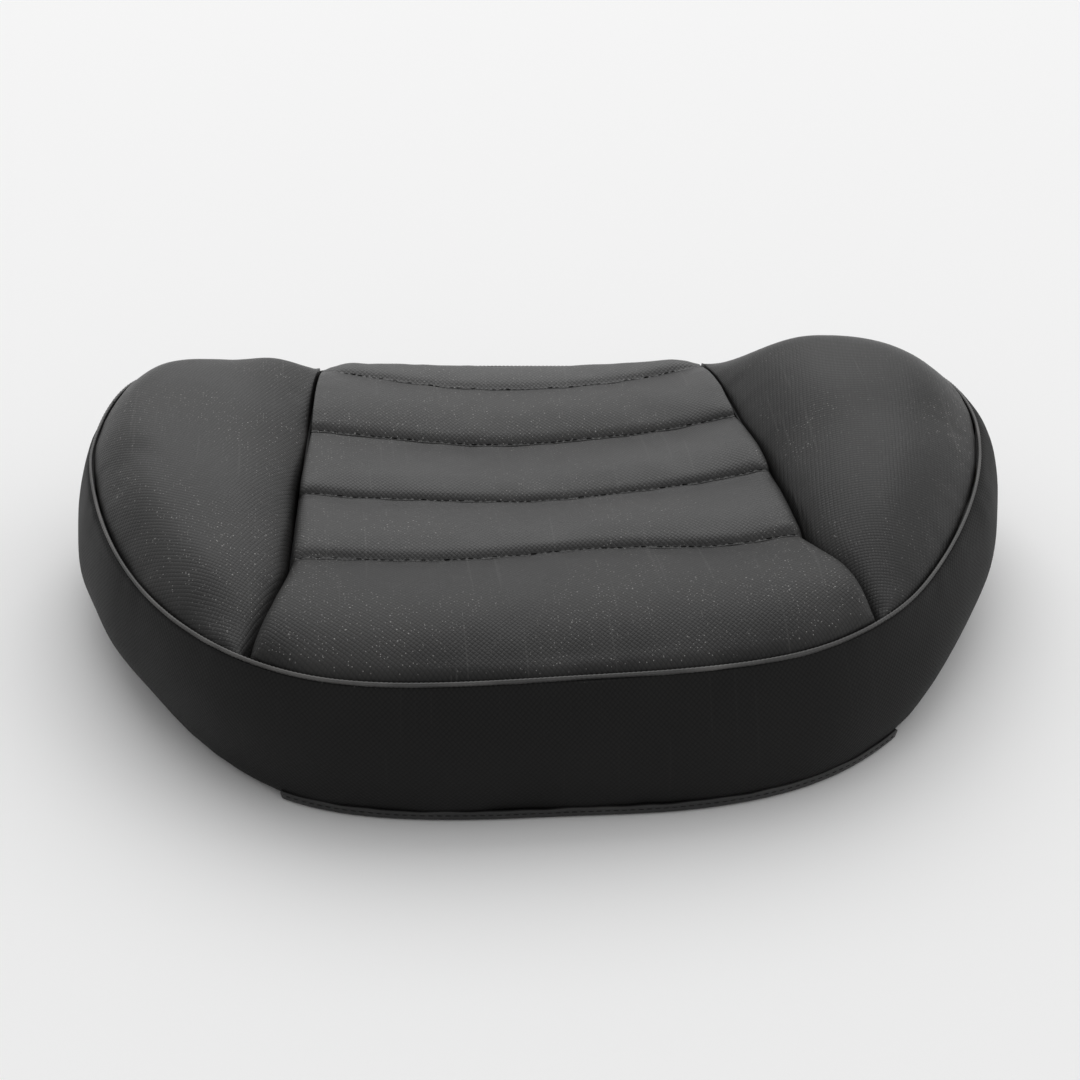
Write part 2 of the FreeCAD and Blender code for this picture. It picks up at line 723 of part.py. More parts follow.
def strap_sketch(body):
    """A round-ended strip with holes for two inserts and two rivets."""
    half = (dim("strap_length") - dim("strap_width")) / 2
    radius = dim("strap_width") / 2
    plane = [f for f in body.Origin.OriginFeatures if f.Role == "XY_Plane"][0]
    sketch = body.newObject("Sketcher::SketchObject", f"{body.Name}Outline")
    sketch.AttachmentSupport = (plane, [""])
    sketch.MapMode = "FlatFace"
    up = Vector(0, 0, 1)
    right_end = Part.ArcOfCircle(Part.Circle(Vector(half, 0, 0), up, radius), -math.pi / 2, math.pi / 2)
    left_end = Part.ArcOfCircle(Part.Circle(Vector(-half, 0, 0), up, radius), math.pi / 2, 3 * math.pi / 2)
    sketch.addGeometry(right_end, False)
    sketch.addGeometry(left_end, False)
    sketch.addGeometry(Part.LineSegment(Vector(half, radius, 0), Vector(-half, radius, 0)), False)
    sketch.addGeometry(Part.LineSegment(Vector(-half, -radius, 0), Vector(half, -radius, 0)), False)
    holes = [("insert_spacing_across", dim("insert_barrel_radius") + 0.1),
             ("rivet_spacing", dim("rivet_radius") + 0.1)]
    for spacing, hole_radius in holes:
        for direction in (-1, 1):
            centre = Vector(direction * dim(spacing) / 2, 0, 0)
            sketch.addGeometry(Part.Circle(centre, up, hole_radius), False)
    return sketch


def make_strap(label, direction):
    """A flat steel strap on the pan's floor that spreads the load of two inserts."""
    body = doc.addObject("PartDesign::Body", f"Body_{label}")
    pad = body.newObject("PartDesign::Pad", f"Pad_{label}")
    pad.Profile = strap_sketch(body)
    bind(pad, Length="Dims.strap_thickness")
    body.setExpression("Placement.Base.y", f"{direction} * Dims.insert_spacing_along / 2")
    body.setExpression("Placement.Base.z", PAN_TOP)
    finish_part(body, label)


def make_inserts():
    """Four flanged M8 inserts: the flange sits on a strap, the barrel fills a boss."""
    inserts = []
    barrel_base = f"{PAN_ROOF} - Dims.boss_drop"
    barrel_height = "Dims.boss_drop + Dims.pan_wall + Dims.strap_thickness"
    for number, (x, y) in enumerate(corners("insert_spacing_across", "insert_spacing_along")):
        barrel = cylinder(f"Barrel{number}", "Dims.insert_barrel_radius", barrel_height, x, y, barrel_base)
        flange = cylinder(f"Flange{number}", "Dims.insert_flange_radius",
                          "Dims.insert_flange_thickness", x, y, STRAP_TOP)
        bore = cylinder(f"Bore{number}", "Dims.insert_bore_radius", "Dims.bolt_room_height", x, y, "-1")
        inserts.append(cut(f"Insert{number}", fuse(f"InsertSolid{number}", [barrel, flange]), bore))
    finish_part(group("Inserts", inserts), "threaded_inserts")


def make_rivets():
    """Rivets that hold the straps to the pan, with a head above and a tail below."""
    rivets = []
    for number, (x, y) in enumerate(corners("rivet_spacing", "insert_spacing_along")):
        shank = cylinder(f"Shank{number}", "Dims.rivet_radius",
                         "Dims.pan_wall + Dims.strap_thickness", x, y, PAN_ROOF)
        head = cylinder(f"Head{number}", "Dims.rivet_head_radius", "Dims.rivet_head_height", x, y, STRAP_TOP)
        tail = cylinder(f"Tail{number}", "Dims.rivet_radius * 1.4", "Dims.rivet_head_height", x, y,
                        f"{PAN_ROOF} - Dims.rivet_head_height")
        rivets.append(fuse(f"Rivet{number}", [shank, head, tail]))
    finish_part(group("Rivets", rivets), "strap_rivets")


def make_bumpers():
    """Rubber feet that stand on the frame, each with a stem pushed through the pan."""
    bumpers = []
    for number, (x, y) in enumerate(corners("bumper_spacing_across", "bumper_spacing_along")):
        foot = cylinder(f"Foot{number}", "Dims.bumper_radius", PAN_ROOF, x, y, "0")
        stem = cylinder(f"Stem{number}", "Dims.bumper_stem_radius", "Dims.pan_wall", x, y, PAN_ROOF)
        bumpers.append(fuse(f"Bumper{number}", [foot, stem]))
    finish_part(group("Bumpers", bumpers), "rubber_bumpers")


def staple(position, tangent):
    """One staple seen from below: a crown across the edge and two legs up into the pan."""
    wire = dim("staple_wire")
    crown = dim("staple_crown")
    rise = dim("staple_leg")
    shape = Part.makeBox(crown, wire, wire, Vector(-crown / 2, -wire / 2, 0))
    for end in (-crown / 2, crown / 2 - wire):
        shape = shape.fuse(Part.makeBox(wire, wire, rise, Vector(end, -wire / 2, 0)))
    turn = Rotation(Vector(1, 0, 0), tangent)
    shape.Placement = Placement(position, turn)
    return shape.removeSplitter()


def make_staples():
    """Staples in a row all round the turned-under edge."""
    level = SIDE_LEVELS[0]
    curve, _ = level_outline(level, -dim("staple_inset"))
    height = dim("turn_under_height") - dim("staple_wire")
    spots = curve.discretize(Number=STAPLE_COUNT + 1)[:-1]
    staples = []
    for spot in spots:
        tangent = curve.tangent(curve.parameter(spot))[0]
        staples.append(staple(Vector(spot.x, spot.y, height), tangent))
    row = doc.addObject("Part::Feature", "Staples")
    row.Shape = Part.makeCompound(staples)
    finish_part(row, "staples")


# --- build, check and write ------------------------------------------------------------------

def check_document():
    """Stop if any object failed or any sub-part is empty or not valid."""
    for item in doc.Objects:
        bad = [state for state in item.State if state in ("Invalid", "Error")]
        if bad:
            raise RuntimeError(f"{item.Name} failed: {item.State}")
    for item in subparts:
        if item.Shape.isNull() or not item.Shape.isValid() or not item.Shape.Solids:
            raise RuntimeError(f"{item.Label} has no valid solid")


def write_parts():
    os.makedirs("parts", exist_ok=True)
    for item in subparts:
        item.Shape.exportStep(os.path.join("parts", f"{item.Label}.step"))
        size = item.Shape.BoundBox
        print(f"{item.Label}: {len(item.Shape.Solids)} solids, {item.Shape.Volume / 1000:.1f} cm3, "
              f"z {size.ZMin:.1f} to {size.ZMax:.1f}")


def main():
    make_foam(make_pan())
    make_centre_panels()
    make_bolsters()
    halves = halves_at_join()
    make_boxing(halves)
    make_welt(halves)
    make_front_hem()
    make_turn_under()
    make_tie_wires()
    make_listings()
    make_hog_rings()
    make_strap("front_strap", -1)
    make_strap("rear_strap", 1)
    make_inserts()
    make_rivets()
    make_bumpers()
    make_staples()
    doc.recompute()
    check_document()
    write_parts()


main()
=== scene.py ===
import math

import bpy
import numpy as np
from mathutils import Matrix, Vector


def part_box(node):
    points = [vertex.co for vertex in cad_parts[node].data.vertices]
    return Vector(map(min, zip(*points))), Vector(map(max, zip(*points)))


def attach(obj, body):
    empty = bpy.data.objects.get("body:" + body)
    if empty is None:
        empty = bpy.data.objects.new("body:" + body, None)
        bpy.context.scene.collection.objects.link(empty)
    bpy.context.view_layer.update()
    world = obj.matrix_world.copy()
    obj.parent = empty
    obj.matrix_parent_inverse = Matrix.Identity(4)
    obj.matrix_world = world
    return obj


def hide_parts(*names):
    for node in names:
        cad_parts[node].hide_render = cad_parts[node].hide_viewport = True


# The looks of a dished motorcycle seat: sewn panels of embossed vinyl over padding, a boxing
# band, a piped edge and a stitched hem, round the fixed CAD frame.
# Shapes are worked out in millimetres and become metres when a mesh is made. Rows of a sheet
# run from the front to the rear, or from the bottom up, and columns run from left to right.

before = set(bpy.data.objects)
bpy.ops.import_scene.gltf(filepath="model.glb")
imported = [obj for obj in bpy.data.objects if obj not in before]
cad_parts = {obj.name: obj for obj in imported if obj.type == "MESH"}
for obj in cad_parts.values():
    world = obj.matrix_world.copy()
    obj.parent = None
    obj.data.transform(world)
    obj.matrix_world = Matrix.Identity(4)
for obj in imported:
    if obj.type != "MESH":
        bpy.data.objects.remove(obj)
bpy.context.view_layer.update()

MM = 0.001
# The seed of everything random, and what is added to it for each line or band that is uneven.
SEED = 494
LEFT_TRENCH_SEED = 20
RIGHT_TRENCH_SEED = 30
BOLSTER_TRENCH_SEED = 40
EDGE_SEED = 50
HEAD_SEED = 300
FOOT_SEED = 301
BOXING_SEED = 302
UNDER_SEED = 400
HEM_SEED = 500


def box_mm(node):
    low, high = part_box(node)
    return np.array(low) / MM, np.array(high) / MM


# --- sizes from the frame ---

BOXING_LOW, BOXING_HIGH = box_mm("front_boxing")
SIDE_SWELL = 14.8
FRONT_SWELL = 11.9
REAR_SWELL = 10.5
HALF_WIDTH = (BOXING_HIGH[0] - BOXING_LOW[0]) / 2 - SIDE_SWELL
FRONT_REACH = -BOXING_LOW[1] - FRONT_SWELL
REAR_REACH = box_mm("rear_boxing")[1][1] - REAR_SWELL
BOXING_JOIN = BOXING_HIGH[1]

# The seams across the seat, from the front.
PANEL_GAP = 0.5
CHANNELS = ("front_channel_panel", "middle_channel_panel", "rear_channel_panel")
SEAM_LINES = [box_mm(node)[0][1] - PANEL_GAP for node in CHANNELS]
SEAM_LINES.append(box_mm(CHANNELS[-1])[1][1] + PANEL_GAP)
REARMOST = len(SEAM_LINES) - 1

# --- sizes of the cover ---

# Seam outline, right half from front to rear, as shares of the half width and the two reaches.
SEAM_OUTLINE = [
    (0.0, -1.0), (0.29, -0.99), (0.50, -0.92), (0.6625, -0.76), (0.8875, -0.267),
    (0.992, 0.25), (0.98, 0.66), (0.8125, 0.95), (0.50, 1.03), (0.25, 1.065), (0.0, 1.072),
]
SEAM_SAMPLES = 1800
# Height of the edge seam along the seat: y, z.
SEAM_HEIGHT = [(-200, 72), (-110, 73), (-40, 76.5), (20, 80), (75, 82.5), (105, 82), (135, 78),
               (165, 70), (200, 62)]
# The trench between the centre and a bolster: y, x, height.
TRENCH = [(-150, 163, 70), (-118, 151, 73), (-92, 141, 78), (-50, 131, 81), (20, 126, 81),
          (88, 118, 80.5), (138, 113, 80), (158, 110, 78)]
# How far the centre dishes below the trenches: y, depth.
DISH = [(-150, 0), (-100, 2), (-48, 6), (18, 13), (82, 14.5), (138, 9.5), (162, 7.5)]
# Height of each bolster's crown over the line from its trench to its outer seam: y, height.
BOLSTER_CROWN = {
    1: [(-118, 6), (-80, 10), (-40, 15), (20, 20), (80, 25), (120, 27), (158, 27)],
    -1: [(-118, 6), (-80, 10), (-40, 15), (20, 18), (80, 17), (120, 15), (158, 16)],
}
# How far from the trench and from the outer seam a bolster reaches its full height, at the front
# and at the rear, and the y over which the one passes into the other.
TRENCH_REACH = 44.0
TRENCH_REACH_REAR = {1: 56.0, -1: 32.0}
TRENCH_REACH_SPAN = (90, 150)
SEAM_REACH = {1: 42.0, -1: 32.0}
SEAM_REACH_REAR = {1: 38.0, -1: 19.0}
SEAM_REACH_SPAN = (40, 130)
TRENCH_ENDS = (-135, 160)
FRONT_ROLL_CROWN = 11.0
# The rear roll is a little higher on its right, flatter where it is narrow, and rounds down at its
# ends into the trenches.
REAR_ROLL_CROWN = 3.0
REAR_ROLL_RISE = 1.5
REAR_ROLL_WIDTH = 23.0
REAR_END_DROP = 6.5
REAR_END_REACH = 15.0
CHANNEL_CROWN = 3.8
# Powers of the share across a panel that put its crown forward (under 1) or back (over 1).
FRONT_ROLL_SKEW = 0.75
CHANNEL_SKEW = 0.62
REAR_ROLL_SKEW = 1.3
REAR_ROLL_THINS = 0.4
# The rearmost cross seam curves back by this much at its corners, by a power of x.
REAR_CORNER = 110.0
REAR_SEAM_CURVE = 12.0
REAR_SEAM_POWER = 2.2
# The cover has crept at the frontmost cross seam: by how much, where, and how far that spreads.
CREEP = 1.5
CREEPS = [(2.0, 18, 30), (-4.5, 88, 36), (-2.5, -60, 40)]

PANEL_DEPTH = 20.0
TRENCH_GAP = 1.7
# Half the gap between two centre panels at a seam.
FOLD_GAP = 0.15
WELT_ROOM = 1.5
SKIN = 3.0
WELT_RADIUS = 0.85
STITCH_PITCH = 4.0

# The soft cover leans: its left rear corner sits further back and higher than the right one.
LEAN_SLOPE = 0.035
LEAN_TWIST = 0.021
LEAN_FULL_HEIGHT = 70.0
LEAN_ARM = 190.0
LEAN_PULL = 1.4
LEAN_REAR = (30, 150)
# How parts of it have shifted: on which side (0 is both), how far in x, y and z, and where that
# grows to its full size, out along x and back along y.
SHIFTS = [
    (0, (6.0, 0, 0), ((110, 230), (-90, 60))),
    (-1, (3.0, 0, 0), ((140, 230), (50, 120))),
    (-1, (0, 16.0, 4.0), ((150, 235), (70, 130))),
    (1, (0, 6.0, 0), ((150, 230), (50, 120))),
]
# The front end of the right trench bows outwards.
BOW = 5.0
BOW_PLACE = (146.0, -84.0)
BOW_REACH = 24.0


# --- curves ---

def ease(low, high, value):
    """Rises smoothly from 0 at low to 1 at high."""
    share = np.clip((np.asarray(value, float) - low) / (high - low), 0, 1)
    return share * share * (3 - 2 * share)


def grown(x, y, spans):
    """Rises over one span of x and one of y."""
    return ease(*spans[0], x) * ease(*spans[1], y)


def between(start, end, share):
    return start + (end - start) * share


def quarter_wave(share):
    return np.sin(math.pi / 2 * np.clip(share, 0, 1))


def bumps(x, terms):
    """Bell curves added up: the size, place and spread of each."""
    return sum(size * np.exp(-((x - place) / spread) ** 2) for size, place, spread in terms)


def spline_slopes(values, steps, closed):
    """Slopes of the cubic spline through values at knots that are steps apart."""
    count = len(values)
    matrix = np.zeros((count, count))
    target = np.zeros((count,) + values.shape[1:])
    for i in range(count):
        if not closed and i in (0, count - 1):
            other = 1 if i == 0 else count - 2
            first = min(i, other)
            matrix[i, i] = 2
            matrix[i, other] = 1
            target[i] = 3 * (values[first + 1] - values[first]) / steps[first]
            continue
        after = (i + 1) % count
        matrix[i, i - 1] = 1 / steps[i - 1]
        matrix[i, i] = 2 / steps[i - 1] + 2 / steps[i]
        matrix[i, after] = 1 / steps[i]
        rise_before = (values[i] - values[i - 1]) / steps[i - 1] ** 2
        rise_after = (values[after] - values[i]) / steps[i] ** 2
        target[i] = 3 * (rise_before + rise_after)
    return np.linalg.solve(matrix, target)


def hermite(start, end, slope_start, slope_end, step, share):
    """A cubic between two knots, at a share of the step between them."""
    squared = share * share
    cubed = squared * share
    return ((2 * cubed - 3 * squared + 1) * start + (cubed - 2 * squared + share) * step * slope_start
            + (3 * squared - 2 * cubed) * end + (cubed - squared) * step * slope_end)


def smooth_profile(knots):
    """A smooth function through (position, value) pairs, flat beyond its ends."""
    knots = np.array(knots, float)
    places = knots[:, 0]
    values = knots[:, 1]
    steps = np.diff(places)
    slopes = spline_slopes(values, steps, closed=False)

    def at(position):
        position = np.clip(position, places[0], places[-1])
        i = np.clip(np.searchsorted(places, position) - 1, 0, len(steps) - 1)
        share = (position - places[i]) / steps[i]
        return hermite(values[i], values[i + 1], slopes[i], slopes[i + 1], steps[i], share)

    return at


def resampled(line, shares):
    """Points of a polyline at shares of its length."""
    run = np.concatenate([[0], np.cumsum(np.linalg.norm(np.diff(line, axis=0), axis=1))])
    return np.stack([np.interp(shares * run[-1], run, line[:, k]) for k in range(line.shape[1])], 1)


SPAN_SAMPLES = 60


def closed_outline(points, count):
    """A smooth closed line through points, as count points evenly spaced along it."""
    points = np.array(points, float)
    after = np.roll(points, -1, 0)
    steps = np.linalg.norm(after - points, axis=1)
    slopes = spline_slopes(points, steps, closed=True)
    share = np.linspace(0, 1, SPAN_SAMPLES, endpoint=False)[:, None]
    spans = [hermite(points[i], after[i], slopes[i], slopes[(i + 1) % len(points)], steps[i], share)
             for i in range(len(points))]
    dense = np.concatenate(spans + [points[:1]])
    return resampled(dense, np.linspace(0, 1, count + 1))[:-1]


def outward(line):
    """The outward direction at each point of a closed line that runs counter-clockwise."""
    along = np.roll(line, -1, 0) - np.roll(line, 1, 0)
    along /= np.linalg.norm(along, axis=1)[:, None]
    return np.stack([along[:, 1], -along[:, 0]], 1)


def seam_line():
    """The edge seam seen from above, counter-clockwise from the middle of the front."""
    half = [(x * HALF_WIDTH, y * (FRONT_REACH if y < 0 else REAR_REACH)) for x, y in SEAM_OUTLINE]
    mirrored = [(-x, y) for x, y in half[-2:0:-1]]
    return closed_outline(half + mirrored, SEAM_SAMPLES)


SEAM = seam_line()
SEAM_OUT = outward(SEAM)
SEAM_RIGHT = SEAM[:SEAM_SAMPLES // 2]
seam_height = smooth_profile(SEAM_HEIGHT)
trench_x = smooth_profile([(y, x) for y, x, z in TRENCH])
trench_height = smooth_profile([(y, z) for y, x, z in TRENCH])
dish_depth = smooth_profile(DISH)
bolster_crown = {side: smooth_profile(knots) for side, knots in BOLSTER_CROWN.items()}


def lean(points):
    """Moves points of the cover as its lean does: in full at the seam, not at all at the pan."""
    x, y, z = points[..., 0], points[..., 1], points[..., 2]
    share = np.clip(z / LEAN_FULL_HEIGHT, 0, 1)
    arm = LEAN_PULL * x * np.exp(-(x / LEAN_ARM) ** 2)
    rear = ease(*LEAN_REAR, y) * share
    bow = bumps(x, [(BOW, BOW_PLACE[0], BOW_REACH)]) * bumps(y, [(1, BOW_PLACE[1], BOW_REACH)])
    moved = np.stack([bow * share, -LEAN_SLOPE * arm * rear, -LEAN_TWIST * arm * rear], -1)
    for side, shift, spans in SHIFTS:
        size = grown(side * x if side else np.abs(x), y, spans) * share
        moved = moved + size[..., None] * shift
    return points + moved


POINTS_AT_ONCE = 400


def raised(plan, height):
    """Plan points with their heights."""
    return np.concatenate([plan, height[..., None]], -1)


def nearest(points, line):
    """For each plan point: its distance from a line, and how far along the line it is nearest to."""
    flat = points.reshape(-1, 2)
    first = line[:-1]
    span = line[1:] - first
    size = np.linalg.norm(span, axis=1)
    run = np.concatenate([[0], np.cumsum(size)])[:-1]
    away = np.empty(len(flat))
    along = np.empty(len(flat))
    for low in range(0, len(flat), POINTS_AT_ONCE):
        some = slice(low, low + POINTS_AT_ONCE)
        part = flat[some, None] - first[None]
        share = np.clip((part * span).sum(2) / np.maximum(size ** 2, 1e-9), 0, 1)
        gaps = np.linalg.norm(part - share[..., None] * span, axis=2)
        best = gaps.argmin(1)
        rows = np.arange(len(best))
        away[some] = gaps[rows, best]
        along[some] = run[best] + share[rows, best] * size[best]
    return away.reshape(points.shape[:-1]), along.reshape(points.shape[:-1])


def ripples(along, seed, lengths):
    """A wave of several lengths with random phases, about 1 high."""
    phases = np.random.default_rng(SEED + seed).uniform(0, 2 * math.pi, len(lengths))
    waves = [np.sin(2 * math.pi * along / length + phase) for length, phase in zip(lengths, phases)]
    return sum(waves) / math.sqrt(len(lengths))


HOLLOW_WAVES = 7
HOLLOW_SIZES = (0.7, 1.6)


def hollows(x, y, seed, length):
    """Gentle unevenness of padding: waves in several directions, about 1 high."""
    rng = np.random.default_rng(SEED + seed)
    total = 0
    for _ in range(HOLLOW_WAVES):
        turn, phase = rng.uniform(0, 2 * math.pi, 2)
        size = length * rng.uniform(*HOLLOW_SIZES)
        total = total + np.sin(2 * math.pi * (x * math.cos(turn) + y * math.sin(turn)) / size + phase)
    return total / math.sqrt(HOLLOW_WAVES)


# --- the top panels in plan ---

EDGE_STEPS = (0.0, 0.5, 1.0, 1.6, 2.2, 3.2, 4.8, 7.0, 10.0)
END_SHARE = 0.3
LINE_POINTS = 160


def grid_shares(length, cell):
    """Grid positions from 0 to 1 along a side, close together near both ends."""
    near = np.array(EDGE_STEPS)
    room = length - 2 * near[-1]
    if room < cell:
        near = near[near < END_SHARE * length]
        room = length - 2 * near[-1]
    middle = np.linspace(near[-1], length - near[-1], max(2, round(room / cell)) + 1)
    steps = np.concatenate([near[:-1], middle, length - near[-2::-1]])
    return steps / length


def line_length(line):
    return np.linalg.norm(np.diff(line, axis=0), axis=1).sum()


def patch(sides, across, along):
    """A grid of plan points spanned between four lines that meet at their ends: the front, rear,
    left and right of a panel. across and along are the shares at which the sides are cut."""
    front, rear, left, right = sides
    u = across[None, :, None]
    v = along[:, None, None]
    low = resampled(front, across)[None]
    high = resampled(rear, across)[None]
    west = resampled(left, along)[:, None]
    east = resampled(right, along)[:, None]
    corners = ((1 - u) * (1 - v) * low[:, :1] + u * (1 - v) * low[:, -1:]
               + (1 - u) * v * high[:, :1] + u * v * high[:, -1:])
    return (1 - v) * low + v * high + (1 - u) * west + u * east - corners


def cross_seam_y(number, x):
    """Where a seam across the seat runs."""
    line = SEAM_LINES[number]
    if number == 0:
        return line + CREEP + bumps(x, CREEPS)
    if number == REARMOST:
        return line + REAR_SEAM_CURVE * (np.abs(x) / REAR_CORNER) ** REAR_SEAM_POWER
    return np.full_like(x, line)


def cross_line(number, shift):
    """One seam across the seat, from trench to trench, moved to the rear by shift."""
    end = cross_seam_y(number, np.array([trench_x(SEAM_LINES[number])]))[0] + shift
    reach = trench_x(end) - TRENCH_GAP / 2
    x = np.linspace(-reach, reach, LINE_POINTS)
    return np.stack([x, cross_seam_y(number, x) + shift], 1)


def trench_line(start, end, shift):
    """The right trench from one y to another, moved outward by shift."""
    y = np.linspace(start, end, LINE_POINTS)
    return np.stack([trench_x(y) + shift, y], 1)


def edge_arc(shift):
    """The right half of the line just inside the edge seam, front to rear, with where it crosses a
    trench that is moved outward by shift."""
    inner = (SEAM - SEAM_OUT * WELT_ROOM)[:SEAM_SAMPLES // 2 + 1]
    beyond = inner[:, 0] > trench_x(inner[:, 1]) + shift
    crossings = np.nonzero(np.diff(beyond.astype(int)))[0] + 1
    return inner, crossings[0], crossings[-1]


def ended(line, start, end):
    """A line with its ends moved to two points."""
    return np.concatenate([[start], line[1:-1], [end]])


def mirrored_x(line):
    return line * np.array([-1, 1])


def centre_outline(first, last):
    """The four sides of a centre panel: first and last number its cross seams, or None at the edge."""
    inset = -TRENCH_GAP / 2
    inner, front_at, rear_at = edge_arc(inset)
    if first is None:
        front = np.concatenate([mirrored_x(inner[front_at:0:-1]), inner[:front_at + 1]])
    else:
        front = cross_line(first, FOLD_GAP)
    if last is None:
        right_part = inner[rear_at:]
        rear = np.concatenate([mirrored_x(right_part[:-1]), right_part[::-1]])
    else:
        rear = cross_line(last, -FOLD_GAP)
    side = trench_line(front[-1][1], rear[-1][1], inset)
    return (front, rear, ended(mirrored_x(side), front[0], rear[0]),
            ended(side, front[-1], rear[-1]))


BOLSTER_FRONT_CORNER = -50.0
BOLSTER_REAR_CORNER = 128.0


def bolster_outline():
    """The four sides of the right bolster: the outer seam is shared out at two soft corners."""
    shift = TRENCH_GAP / 2
    inner, front_at, rear_at = edge_arc(shift)
    outer = inner[front_at:rear_at + 1]
    widest = np.argmax(outer[:, 0])
    front_corner = np.argmin(np.abs(outer[:widest, 1] - BOLSTER_FRONT_CORNER))
    rear_corner = widest + np.argmin(np.abs(outer[widest:, 1] - BOLSTER_REAR_CORNER))
    front = outer[:front_corner + 1]
    right = outer[front_corner:rear_corner + 1]
    rear = outer[rear_corner:][::-1]
    left = trench_line(front[0][1], rear[0][1], shift)
    return front, rear, ended(left, front[0], rear[0]), right


# --- heights of the top ---

# The front and the rear seam: the parts of the edge seam before one y and behind another.
FRONT_SEAM = SEAM_RIGHT[SEAM_RIGHT[:, 1] < -40]
REAR_SEAM = SEAM_RIGHT[SEAM_RIGHT[:, 1] > REAR_REACH - 20][::-1]


def edge_y(seam, x):
    """The y of the front or the rear seam at each x."""
    return np.interp(np.abs(x), *seam.T)


def part_way(y, start, end):
    return np.clip((y - start) / (end - start), 0, 1)


def dished_height(x, y):
    return trench_height(y) - dish_depth(y) * (1 - (x / trench_x(y)) ** 2)


def front_roll_height(x, y):
    start = edge_y(FRONT_SEAM, x)
    share = part_way(y, start, cross_seam_y(0, x))
    ruled = between(seam_height(start), dished_height(x, SEAM_LINES[0]), share)
    return ruled + FRONT_ROLL_CROWN * np.sin(math.pi * share ** FRONT_ROLL_SKEW)


def channel_height(number):
    """The height of one channel panel, fullest just behind its front seam."""
    def at(x, y):
        share = part_way(y, cross_seam_y(number, x), cross_seam_y(number + 1, x))
        return dished_height(x, y) + CHANNEL_CROWN * np.sin(math.pi * share ** CHANNEL_SKEW)

    return at


def rear_roll_height(x, y):
    start = cross_seam_y(REARMOST, x)
    width = np.maximum(edge_y(REAR_SEAM, x) - start, 1)
    share = part_way(y, start, start + width)
    crown = REAR_ROLL_CROWN + REAR_ROLL_RISE * x / HALF_WIDTH
    crown = crown * np.clip(width / REAR_ROLL_WIDTH, 0, 1) ** REAR_ROLL_THINS
    swell = crown * np.sin(math.pi * share ** REAR_ROLL_SKEW)
    end = 1 - ease(0, REAR_END_REACH, trench_x(y) - np.abs(x))
    return dished_height(x, y) + swell - REAR_END_DROP * share * end


def bolster_height(side):
    """The height of a bolster: a ruled slope from trench to seam with a crown on it."""
    def at(x, y):
        plan = np.stack([np.abs(x), y], -1)
        to_trench, _ = nearest(plan, trench_line(*TRENCH_ENDS, 0))
        to_seam, _ = nearest(plan, SEAM_RIGHT)
        share = to_trench / (to_trench + to_seam)
        inner = between(TRENCH_REACH, TRENCH_REACH_REAR[side], ease(*TRENCH_REACH_SPAN, y))
        outer = between(SEAM_REACH[side], SEAM_REACH_REAR[side], ease(*SEAM_REACH_SPAN, y))
        lift = quarter_wave(to_trench / inner) * quarter_wave(to_seam / outer)
        return between(trench_height(y), seam_height(y), share) + bolster_crown[side](y) * lift

    return at


# Rounding of a panel's edge as it dives into a seam: radius, depth.
AT_TRENCH = (9.0, 7.0)
AT_EDGE = (6.0, 4.0)
AT_FOLD = (1.6, 1.6)
AT_LIP = (0.6, 0.6)
BOLSTER_AT_TRENCH = (12.0, 10.0)
# A channel panel is topstitched along its front, which leaves a flat lip beside the seam.
LIP_DROP = 1.45
LIP_STITCH = 1.6
LIP_END = 6.5
STITCH_VALLEY = 0.6
STITCH_VALLEY_WIDTH = 0.5
# The seams and lips are shallower towards the rear: by this share, over this y.
SEAM_LESS = 0.86
SEAM_LESS_SPAN = (-30, 135)
LIP_LESS = 0.5
LIP_LESS_SPAN = (40, 140)
# Small gathers that sewing leaves along an edge: height, reach from the edge, wave lengths.
PUCKER = 0.32
PUCKER_REACH = 9.0
PUCKER_LENGTHS = (6.3, 9.1, 14.0, 23.0)
UNEVENNESS = 0.55
UNEVEN_LENGTH = 75.0


def shoulder(distance, radius, depth):
    """How far an edge has rounded down, at a distance from it."""
    share = 1 - np.clip(distance / radius, 0, 1)
    return depth * (1 - np.sqrt(np.clip(1 - share ** 2, 0, 1)))


def lip_drop(distance):
    """The drop of a channel panel near its front seam: a flat lip and the valley of its stitching."""
    valley = STITCH_VALLEY * np.exp(-((distance - LIP_STITCH) / STITCH_VALLEY_WIDTH) ** 2)
    return LIP_DROP * (1 - ease(LIP_STITCH, LIP_END, distance)) + valley


def top_height(panel, plan):
    """Heights of a top panel at plan points, and how far each has dropped towards the seams."""
    height = panel["height"](plan[..., 0], plan[..., 1])
    height = height + UNEVENNESS * hollows(plan[..., 0], plan[..., 1], SEED, UNEVEN_LENGTH)
    total = 0
    for seed, line, (radius, depth) in panel["edges"]:
        away, along = nearest(plan, line)
        total = total + shoulder(away, radius, depth) ** 3
        gather = ripples(along, seed, PUCKER_LENGTHS)
        height = height + PUCKER * gather * np.exp(-away / PUCKER_REACH)
    drop = np.cbrt(total) * (1 - SEAM_LESS * ease(*SEAM_LESS_SPAN, plan[..., 1]))
    if panel["lip"]:
        away, _ = nearest(plan, panel["sides"][0])
        drop = drop + lip_drop(away) * (1 - LIP_LESS * ease(*LIP_LESS_SPAN, plan[..., 1]))
    return height, drop


def top_sheets(panel, across, along):
    """The outer and inner sheet of a top panel."""
    plan = patch(panel["sides"], across, along)
    height, drop = top_height(panel, plan)
    return raised(plan, height - drop), raised(plan, height - PANEL_DEPTH)


WEAVE_TURN = 45


